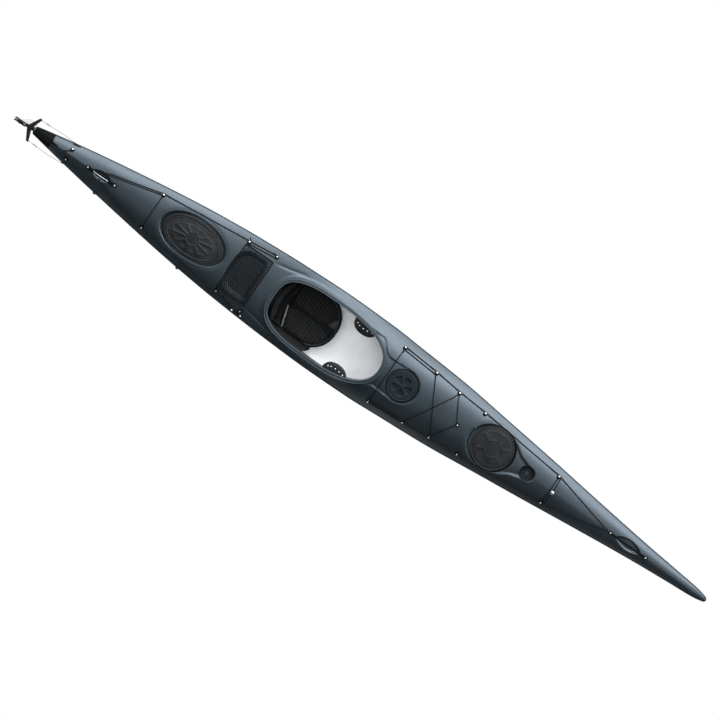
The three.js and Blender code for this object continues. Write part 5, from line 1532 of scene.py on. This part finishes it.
def soft_solve(obj, held, pressure=4.0, frames=16):
    """Fills a closed cloth with air until it lies tight, its held corners kept in place."""
    corners = corners_of(obj)
    group = obj.vertex_groups.new(name="held")
    group.add([k for k, corner in enumerate(corners) if held(corner)], 1.0, "REPLACE")
    cloth = obj.modifiers.new("Cloth", "CLOTH")
    cloth.settings.quality = 6
    cloth.settings.tension_stiffness = cloth.settings.compression_stiffness = 40
    cloth.settings.bending_stiffness = 2
    cloth.settings.use_pressure = True
    cloth.settings.uniform_pressure_force = pressure
    cloth.settings.effector_weights.gravity = 0
    cloth.settings.vertex_group_mass = "held"
    cloth.point_cache.frame_start, cloth.point_cache.frame_end = 1, frames
    scene = bpy.context.scene
    for number in range(1, frames + 1):
        scene.frame_set(number)
        bpy.context.view_layer.update()
    baked(obj)
    scene.frame_set(1)
    moved = corners_of(obj) - corners
    length = np.linalg.norm(moved, axis=1)
    factor = np.where(length > SOFT_REACH, SOFT_REACH / np.maximum(length, 1e-9), 1)
    place_corners(obj, corners + moved * factor[:, None])
    obj.vertex_groups.clear()


def cushion(name, points, rows, around, voxel, held):
    """Padded body: evenly meshed, blown up as a cloth and smoothed."""
    finishes = [material("seat_fabric")]
    obj = outward(mesh_object(name, points, capped_faces(rows, around), finishes))
    modified(obj, "Even", "REMESH", mode="VOXEL", voxel_size=voxel, use_smooth_shade=True)
    obj.data.materials.clear()
    obj.data.materials.append(finishes[0])
    soft_solve(obj, held)
    modified(obj, "Fine", "SUBSURF", levels=1, render_levels=1)
    obj.data.polygons.foreach_set("use_smooth", np.full(len(obj.data.polygons), True))
    return obj


SEAT = {"x": -0.474, "length": 0.372, "width": 0.372, "floor": 0.048, "pad": 0.034, "wall": 0.006}


def seat_outline(count, inset):
    half = SEAT["length"] / 2 - inset
    return round_outline(SEAT["x"], half, half, SEAT["width"] / 2 - inset, 4, 2.2, count)


class KAYAK_OT_seat(bpy.types.Operator):
    """Moulded seat pan and its soft pad with channels across it"""
    bl_idname = "kayak.seat"
    bl_label = "Seat"

    def execute(self, context):
        obj = refined("seat_tray", ["seat_pan"], "moulded_plastic", 0.0015)
        finished(obj, "hull", "seat_pan", slot="moulded_plastic")
        ring = seat_outline(96, SEAT["wall"] + 0.0012)
        low, thick = SEAT["floor"] + 0.0006, SEAT["pad"] - 0.009
        shares = [0.02, 0.2, 0.4, 0.6, 0.8, 0.92]
        rows = [(share, low) for share in shares]
        rows += [(0.985, low), (1.0, low + 0.004), (1.0, low + thick * 0.7), (0.975, low + thick * 0.93)]
        rows += [(share, low + thick) for share in shares[::-1]]
        points = [(SEAT["x"] + (x - SEAT["x"]) * s, y * s, z) for s, z in rows for x, y in ring]
        pad = cushion("seat_cushion", points, len(rows), len(ring), 0.006,
                      lambda corner: corner[2] < low + 0.004)
        x, y, z = corners_of(pad).T
        top = smooth(low + 0.012, low + 0.02, z)
        # Hollow for each thigh, ridge between them in front, then the channels
        front = smooth(SEAT["x"] - 0.05, SEAT["x"] + 0.12, x)
        lobe = np.exp(-((np.abs(y) - 0.085) / 0.055) ** 2)
        z = z - top * (0.004 * lobe + 0.003 * (1 - front)) + top * front * 0.005 * np.exp(-(y / 0.03) ** 2)
        pitch = (SEAT["length"] - 0.03) / 16
        groove = np.exp(-((np.mod((x - SEAT["x"]) / pitch, 1) - 0.5) / 0.16) ** 2)
        lobe_edge = rounded_distance(x, np.abs(y) - 0.086, SEAT["x"], 0.165, 0.165, 0.078, 4, 2.4)
        inside = 1 - smooth(-0.010, 0.0, lobe_edge)
        z = z - top * (groove * inside * 0.006 + 0.003 * np.exp(-((lobe_edge - 0.004) / 0.003) ** 2))
        split = np.exp(-(y / 0.006) ** 2) * (1 - smooth(SEAT["x"] + 0.1, SEAT["x"] + 0.14, x))
        z = z - top * split * 0.004
        # Painted highlight on the ridges between the channels, lightened in the fabric's colour, and a
        # lighter patch at the front on the port side.
        lit_ridges_and_patch = pad.data.attributes.new("lit_ridges_and_patch", "FLOAT", "POINT")
        patch = np.clip((x + 0.3626) / 0.048, 0, 1)
        patch = (patch > 0) * (x < -0.312) * (y > 0.02) * (y < 0.02 + 0.078 * patch)
        lit_ridges_and_patch.data.foreach_set("value", (top * ((1 - groove) * inside + 4 * patch)).astype(np.float32))
        place_corners(pad, np.stack([x, y, np.maximum(z, low)], 1))
        finished(pad, "hull", "seat_pad", slot="seat_fabric")

        count, thickness = 24, 0.0014
        corners = []
        for t in np.linspace(0, 1, count):
            x, y = -0.648 + 0.042 * t, -0.02 - 0.14 * t
            z = SEAT["floor"] + SEAT["pad"] + 0.0045 + 0.004 * math.sin(math.pi * t)
            corners += [(x + 0.005 * side, y + 0.001 * side, z + up)
                        for side, up in ((-1, 0), (1, 0), (1, thickness), (-1, thickness))]
        obj = outward(mesh_object("seat_strap", corners, capped_faces(count, 4), [material("webbing")]))
        finished(sharp_by_angle(obj, 30), "hull", slot="seat_fabric")
        return {"FINISHED"}


class KAYAK_OT_back_band(bpy.types.Operator):
    """Curved padded band on its frame and pin"""
    bl_idname = "kayak.back_band"
    bl_label = "Back band"

    def execute(self, context):
        low_corner, high_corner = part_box("back_band")
        low, high = low_corner.z, high_corner.z
        middle, half = (low + high) / 2, (high - low) / 2 - 0.001
        back_x = low_corner.x + 0.0002
        rings, around, thick, half_width = 40, 28, 0.028, 0.149

        def bowed(y):
            """Distance of the band's back ahead of its middle."""
            return 0.034 * (y / half_width) ** 2

        points = []
        for i in range(rings + 1):
            across = 2 * i / rings - 1
            y = half_width * across
            fill = (1 - abs(across) ** 4) ** 0.5 * 0.72 + 0.28 if abs(across) < 1 else 0.28
            for j in range(around):
                ahead, up = rounded_square(2 * math.pi * j / around, 0.6)
                points.append((back_x + 0.001 + bowed(y) + thick / 2 * (1 + ahead * fill), y,
                               middle + half * (0.75 + 0.25 * fill) * up))
        band = cushion("back_cushion", points, rings + 1, around, 0.005,
                       lambda corner: corner[0] < back_x + 0.005 + bowed(corner[1]))
        x, y, z = corners_of(band).T
        front = smooth(back_x + 0.012, back_x + 0.02, x - bowed(y))
        seams = sum(np.exp(-((np.abs(y) - place) / 0.004) ** 2) for place in (0.04, 0.105))
        border = np.exp(-((np.abs(z - middle) - half * 0.72) / 0.0035) ** 2)
        x = x - front * (seams + border).clip(0, 1) * 0.004
        x = np.maximum(x, back_x + 0.0004)
        z = np.clip(z, low, high + 0.002)
        place_corners(band, np.stack([x, y, z], 1))
        finished(band, "backrest", "back_band", slot="seat_fabric")
        obj = refined("band_frame", ["back_band_frame"], "moulded_plastic", 0.0012)
        finished(obj, "backrest", "back_band_frame", slot="moulded_plastic")
        obj = refined("band_pin", ["back_band_pin"], "dark_alloy", 0.0006)
        finished(obj, "hull", "back_band_pin", slot="steel")
        return {"FINISHED"}


def cockpit_half_width(x):
    """Half the width of the cockpit opening at this place along it."""
    reach = COCKPIT["length"] / 2
    power = COCKPIT["aft_power"] if x < COCKPIT["x"] else COCKPIT["fore_power"]
    return COCKPIT["width"] / 2 * max(0.0, 1 - abs((x - COCKPIT["x"]) / reach) ** power) ** (1 / power)


def slab(rows, thickness, finish, name, side=1):
    """Sheet through rows of corners, given a thickness and soft edges; rows of the other side are turned."""
    points = [corner for row in rows for corner in row[::side]]
    obj = mesh_object(name, points, grid_faces(len(rows), len(rows[0])), [material(finish)] * 2)
    thicken(obj, thickness)
    modified(obj, "Soft edges", "BEVEL", width=thickness * 0.3, segments=2, limit_method="ANGLE")
    outward(obj)
    return sharp_by_angle(obj, 50)


class KAYAK_OT_cockpit_trim(bpy.types.Operator):
    """Hip pads beside the seat, the mat under the back band and the thigh braces with their screws"""
    bl_idname = "kayak.cockpit_trim"
    bl_label = "Cockpit trim"

    def execute(self, context):
        seat_side = seat_outline(200, 0.0)
        seat_side = seat_side[seat_side[:, 1] >= 0]
        seat_side = seat_side[np.argsort(seat_side[:, 0])]
        for side_name, side in SIDES:
            rows = []
            for x in np.linspace(-0.70, -0.375, 36):
                end = 1 - smooth(-0.42, -0.375, x)
                top = 0.235 - 0.10 * (1 - end) - 0.03 * (1 - smooth(-0.69, -0.62, x))
                foot = min(0.184, cockpit_half_width(x) + 0.012)
                seat_edge = float(np.interp(x, seat_side[:, 0], seat_side[:, 1])) - 0.004
                row = [(x, side * (seat_edge + (foot - seat_edge) * t), 0.086 + 0.002 * t)
                       for t in np.linspace(0, 0.9, 5)]
                for t in np.linspace(0, 1, 12):
                    y = foot + (cockpit_half_width(x) + 0.006 - foot) * t + 0.008 * math.sin(math.pi * t)
                    row.append((x - 0.03 * t * (1 - end), side * y, 0.088 + (top - 0.088) * t))
                rows.append(row)
            obj = slab(rows, 0.006, "seat_fabric", f"hip_pad_{side_name}", side)
            finished(obj, "hull", slot="seat_fabric")
        rows = []
        for x in np.linspace(-0.802, -0.656, 24):
            half = 0.2 - 0.07 * float(smooth(-0.726, -0.70, x))
            rows.append([(x, half * t, 0.094 + 0.002 * math.cos(6 * t) + 0.0015 * math.sin(90 * x))
                         for t in np.linspace(-1, 1, 25)])
        finished(slab(rows, 0.003, "seat_fabric", "back_mat"), "hull", slot="seat_fabric")

        for side_name, side in SIDES:
            node = f"thigh_brace_{side_name}"
            low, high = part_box(node)
            centre, half = (low.x + high.x) / 2, (high.x - low.x) / 2
            outer, reach = max(abs(low.y), abs(high.y)), abs(high.y - low.y)

            def on_brace(angle, depth, share, lift=0.0):
                """Place on the brace, its height taken at the given share of the way in."""
                x = centre + half * math.cos(angle) * (0.35 + 0.65 * depth)
                y = outer - reach * depth * math.sin(angle) ** 0.8
                ridge = 0.0012 * math.exp(-((share - 0.8) / 0.05) ** 2)
                return x, side * y, float(coaming_z(x)) - 0.012 - 0.010 * share ** 3 + ridge + lift

            rows = []
            for depth in np.linspace(0, 1, 18):
                rows.append([on_brace(angle, depth, depth * math.sin(angle) ** 0.5)
                             for angle in np.linspace(0, math.pi, 41)])
            obj = slab(rows, 0.005, "moulded_plastic", f"brace_{side_name}", side)
            finished(obj, "hull", node, slot="moulded_plastic")
            parts = Parts()
            for angle, depth in ((0.6, 0.62), (1.15, 0.5), (1.7, 0.5), (2.25, 0.55), (2.65, 0.62)):
                stand = Matrix.Translation(on_brace(angle, depth, depth, 0.0004))
                parts.turned(BRACE_SCREW, "steel", stand, 16)
            finished(parts.piece(f"brace_screws_{side_name}"), "hull", slot="steel")
        return {"FINISHED"}


# Rudder

PEDAL_THICKNESS = 0.016
YOKE_TIP = Vector((-2.59425, 0.076, 0.3582))
LINE_OUTSIDE = [(-2.52, 0.078, 0.345), (-2.42, 0.08, 0.33), (-2.335, 0.076, 0.316)]
LINE_INSIDE = [(-2.335, 0.076, 0.316), (-2.30, 0.072, 0.307), (-2.262, 0.067, 0.292), (-2.18, 0.074, 0.262),
               (-1.9, 0.1, 0.2), (-1.4, 0.165, 0.15), (-0.83, 0.206, 0.122), (-0.4, 0.222, 0.118),
               (-0.1, 0.218, 0.118)]


class KAYAK_OT_rudder(bpy.types.Operator):
    """Rudder on the stern: bracket, yoke, pins and blade, with softened edges and scuffed finishes"""
    bl_idname = "kayak.rudder"
    bl_label = "Rudder"

    def execute(self, context):
        groups = (
            ("stern_bracket", "hull", "dark_alloy", "rudder_bracket", 0.0014, "aluminium"),
            ("turning_pin", "hull", "dark_alloy", "rudder_pivot_pin", 0.0008, "steel"),
            ("yoke", "rudder", "dark_alloy", "rudder_yoke", 0.0016, "aluminium"),
            ("blade_bolt", "rudder", "steel", "blade_pivot_bolt", 0.0008, "steel"),
            ("blade", "blade", "blade_plastic", "rudder_blade", 0.0026, "aluminium"),
        )
        for name, body, finish, node, bevel, slot in groups:
            obj = refined(name, [node], finish, bevel, 3)
            finished(obj, body, node, slot=slot)
        return {"FINISHED"}


class KAYAK_OT_chock(bpy.types.Operator):
    """Ridged chock on the stern deck that takes the raised blade"""
    bl_idname = "kayak.chock"
    bl_label = "Rudder chock"

    def execute(self, context):
        low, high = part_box("rudder_chock")
        rows, columns = 56, 49
        over, under = [], []
        for i in range(rows + 1):
            t = i / rows
            x = low.x + (high.x - low.x) * t
            covered = float(np.interp(t, [0, 0.70, 0.76, 1.0], [0.97, 0.97, 0.16, 0.05]))
            half = covered * float(half_beam(x)[0])
            for j in range(columns):
                share = 2 * j / (columns - 1) - 1
                y = half * share
                deck = deck_z(x, y)
                edge = 1 - float(smooth(0.93, 1.0, abs(share)))
                body = 0.0036 * float(smooth(0.006, 0.009, abs(y))) + 0.0008
                ridges = 0.0022 * sum(math.exp(-((abs(share) - place) / 0.045) ** 2) for place in (0.42, 0.8))
                ridges *= float(smooth(0.0, 0.04, t)) * (1 - float(smooth(0.64, 0.70, t)))
                over.append((x, y, deck + 0.0006 + (body + ridges) * edge))
                under.append((x, y, deck + 0.0003))
        count = rows + 1
        faces = grid_faces(count, columns)
        start = len(over)
        faces += [tuple(start + v for v in face[::-1]) for face in grid_faces(count, columns)]
        border = ([j for j in range(columns)] + [i * columns + columns - 1 for i in range(1, count)]
                  + [(count - 1) * columns + j for j in range(columns - 2, -1, -1)]
                  + [i * columns for i in range(count - 2, 0, -1)])
        for a, b in zip(border, border[1:] + border[:1]):
            faces.append((a, b, start + b, start + a))
        obj = outward(mesh_object("chock", over + under, faces, [material("fitting_plastic")]))
        finished(sharp_by_angle(obj, 40), "hull", "rudder_chock", slot="moulded_plastic")
        return {"FINISHED"}


class KAYAK_OT_rudder_lines(bpy.types.Operator):
    """Lines from the yoke into the deck and on to the pedals, with crimps and entry tubes"""
    bl_idname = "kayak.rudder_lines"
    bl_label = "Rudder lines"

    def execute(self, context):
        diameter = context.scene.kayak_sizes.line_diameter
        for side_name, side in SIDES:
            slack = 0.009 if side < 0 else 0.001
            outside = [Vector((YOKE_TIP.x, side * YOKE_TIP.y, YOKE_TIP.z))]
            outside += [Vector((x, side * (y + slack / 2), z - slack)) for x, y, z in LINE_OUTSIDE[:2]]
            outside.append(Vector((LINE_OUTSIDE[2][0], side * LINE_OUTSIDE[2][1], LINE_OUTSIDE[2][2])))
            path = smooth_path(outside, 0.004)
            outer = tubes(f"rudder_line_{side_name}_outside", [path], diameter, "rudder_line", 10)
            crimp = Parts()
            near = int(len(path) * 0.16)
            crimp.tube(path[near:near + 9], diameter * 0.85, "moulded_plastic", 14)
            sleeve = crimp.piece(f"line_crimp_{side_name}", 50)
            for obj in (outer, sleeve):
                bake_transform(obj)
            inside = [Vector((x, side * y, z)) for x, y, z in LINE_INSIDE]
            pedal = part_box(f"foot_pedal_{side_name}")
            line_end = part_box(f"rudder_line_{side_name}")[1].x
            rail_y = max(abs(pedal[0].y), abs(pedal[1].y)) + 0.0003 - PEDAL_THICKNESS / 2
            inside += [Vector((line_end - along, side * rail_y, 0.118)) for along in (0.184, 0.092, 0.0)]
            path = smooth_path(inside, 0.012)
            obj = tubes(f"rudder_line_{side_name}_inside", [path], diameter, "rudder_line", 8)
            finished(obj, "hull", f"rudder_line_{side_name}", slot="rudder_line")
            tube = Parts()
            tube.tube(smooth_path([inside[0] + Vector((-0.012, 0, 0.003)), inside[1], inside[2]], 0.004)[:14],
                      0.0042, "moulded_plastic", 14)
            finished(tube.piece(f"line_entry_{side_name}", 50), "hull", slot="moulded_plastic")
        return {"FINISHED"}


class KAYAK_OT_small_trim(bpy.types.Operator):
    """Seat lip, bumps and clips on the edge, cord bead, doubled lines and knots"""
    bl_idname = "kayak.small_trim"
    bl_label = "Small trim"

    def execute(self, context):
        line = context.scene.kayak_sizes.cord_diameter
        # Dark lip round the front of the seat, and inside it a thin line in the lighter edge colour as a
        # painted highlight.
        lip = Parts()
        for inset, level, radius, finish, reach in ((0.0035, 0.089, 0.0045, "fitting_plastic", -0.12),
                                                    (0.0135, 0.0865, 0.0017, "rolled_edge", 0.05)):
            ring = seat_outline(96, inset)
            angle = np.unwrap(np.arctan2(ring[:, 1], ring[:, 0] - SEAT["x"]))
            front = ring[np.argsort((angle + math.pi) % math.tau)]
            front = front[front[:, 0] > SEAT["x"] + reach]
            lip.tube(smooth_path([(x, y, level) for x, y in front], 0.008), radius, finish, 12)
        finished(lip.piece("seat_lip"), "hull", slot="moulded_plastic")

        # Darker liner in the compass hollow: painted shade that makes the bowl dark, its middle left open to
        # the deck floor.
        shade_liner = Parts()
        depth = COMPASS["depth"]
        inner = [(0.0462, -0.003), (0.0435, -0.35 * depth), (0.0395, -0.72 * depth), (0.0362, 0.0016 - depth),
                 (0.0130, 0.0012 - depth)]
        under = [(r + 0.0006, z - 0.0010) for r, z in inner[::-1]]
        shade_liner.ring(inner + under, "lid_plastic", upright_on_deck(COMPASS["x"], 0.0), 64)
        finished(shade_liner.piece("compass_liner"), "hull", slot="moulded_plastic")

        bumps = Parts()
        for x in (-2.066, -1.365):
            place = Vector((x, -float(half_beam(x)[0]) + 0.001, float(sheer_z(x)[0]) + 0.002))
            bumps.turned(EDGE_BUMP, "hatch_rubber", upright(place, Vector((0, -1, 0.5)).normalized()), 24)
        finished(bumps.piece("edge_bumps"), "hull", slot="hatch_rubber")

        clips = Parts()
        clip_places = [(-0.923, -0.236), (-0.857, -0.238)]
        for x, y in clip_places:
            clips.turned(EDGE_CLIP, "steel", upright_on_deck(x, y, 0.001), 24)
        x = FITTINGS["fore"][0] + 0.022
        clips.turned(CORD_BEAD, "steel", upright_on_deck(x, -0.006, 0.0042), 28)
        finished(clips.piece("clips_and_bead"), "hull", slot="steel")

        loop = [(-1.019, -0.190), (-0.985, -0.214), clip_places[0], (-0.895, -0.231), clip_places[1],
                (-0.841, -0.222)]
        paths = [smooth_path(run_over(loop, 0.004, 0.016, rise=0.001), 0.005)]
        (aft_x, aft_y), (x, y) = FITTINGS["rear_aft"], FITTINGS["fore"]
        x, y = x + 0.016, y - 0.002
        doubled = [([beside(first, 1, -1, line), beside(last, 1, -1, line)], 0.04)
                   for first, last in (("net_aft", "net_fore"), ("bungee_aft", "bungee_mid"))]
        doubled += [([(aft_x - 0.006, aft_y - 0.004), (-2.03, 0.036), (-2.095, 0.0125)], 0.04),
                    ([(x, y), (x + 0.006, 0.0), (x, -y)], 0.03)]
        paths += [smooth_path(run_over(places, line, spacing), 0.006) for places, spacing in doubled]
        self.knots(paths, line)
        finished(tubes("doubled_lines", paths, line * 0.92, "cord", 10), "hull", slot="cord")
        return {"FINISHED"}

    def knots(self, paths, line):
        """Two turns round the post and a loose tail, at the ends of the doubled lines."""
        for name, heading in (("bungee_aft", 2.6), ("net_fore", 0.5), ("net_aft", -0.4)):
            x, y = FITTINGS[name]
            stand = upright_on_deck(x, y, CORD_LIFT)
            turns = []
            for k in range(36):
                angle = heading + math.tau * k / 16
                radius = POST + line * 0.55 + 0.0008 * k / 36
                turns.append(stand @ Vector((radius * math.cos(angle), radius * math.sin(angle),
                                             0.0046 + 0.00012 * k)))
            angle = heading + math.tau * 36 / 16
            for step in (0.010, 0.018, 0.028):
                turns.append(stand @ Vector((step * math.cos(angle + 0.9) + 0.008 * math.cos(angle),
                                             step * math.sin(angle + 0.9) + 0.008 * math.sin(angle), 0.0044)))
            paths.append(smooth_path(turns, 0.003))


PROPERTY_GROUPS = (KayakFinish, KayakSizes)
OPERATORS = (
    KAYAK_OT_stage, KAYAK_OT_hull, KAYAK_OT_deck, KAYAK_OT_seam, KAYAK_OT_coaming,
    KAYAK_OT_hatch_covers, KAYAK_OT_day_hatch, KAYAK_OT_inner_parts, KAYAK_OT_handles,
    KAYAK_OT_fittings, KAYAK_OT_deck_lines, KAYAK_OT_net, KAYAK_OT_seat, KAYAK_OT_back_band,
    KAYAK_OT_cockpit_trim, KAYAK_OT_rudder, KAYAK_OT_chock, KAYAK_OT_rudder_lines, KAYAK_OT_small_trim,
)


class KAYAK_PT_panel(bpy.types.Panel):
    """Sizes, finishes and one button per step"""
    bl_idname = "KAYAK_PT_panel"
    bl_label = "Sea kayak"
    bl_space_type = "VIEW_3D"
    bl_region_type = "UI"
    bl_category = "Kayak"

    def draw(self, context):
        for group in (context.scene.kayak_sizes, context.scene.kayak_finish):
            box = self.layout.box()
            for name in group.bl_rna.properties.keys():
                if name not in ("rna_type", "name"):
                    box.prop(group, name)
        for operator in OPERATORS:
            self.layout.operator(operator.bl_idname)


CLASSES = (*PROPERTY_GROUPS, *OPERATORS, KAYAK_PT_panel)


def register():
    for item in CLASSES:
        bpy.utils.register_class(item)
    bpy.types.Scene.kayak_finish = bpy.props.PointerProperty(type=KayakFinish)
    bpy.types.Scene.kayak_sizes = bpy.props.PointerProperty(type=KayakSizes)


def unregister():
    del bpy.types.Scene.kayak_sizes
    del bpy.types.Scene.kayak_finish
    for item in reversed(CLASSES):
        bpy.utils.unregister_class(item)


def main():
    register()
    for operator in OPERATORS:
        getattr(bpy.ops.kayak, operator.bl_idname.split(".")[1])()


if __name__ == "__main__":
    main()
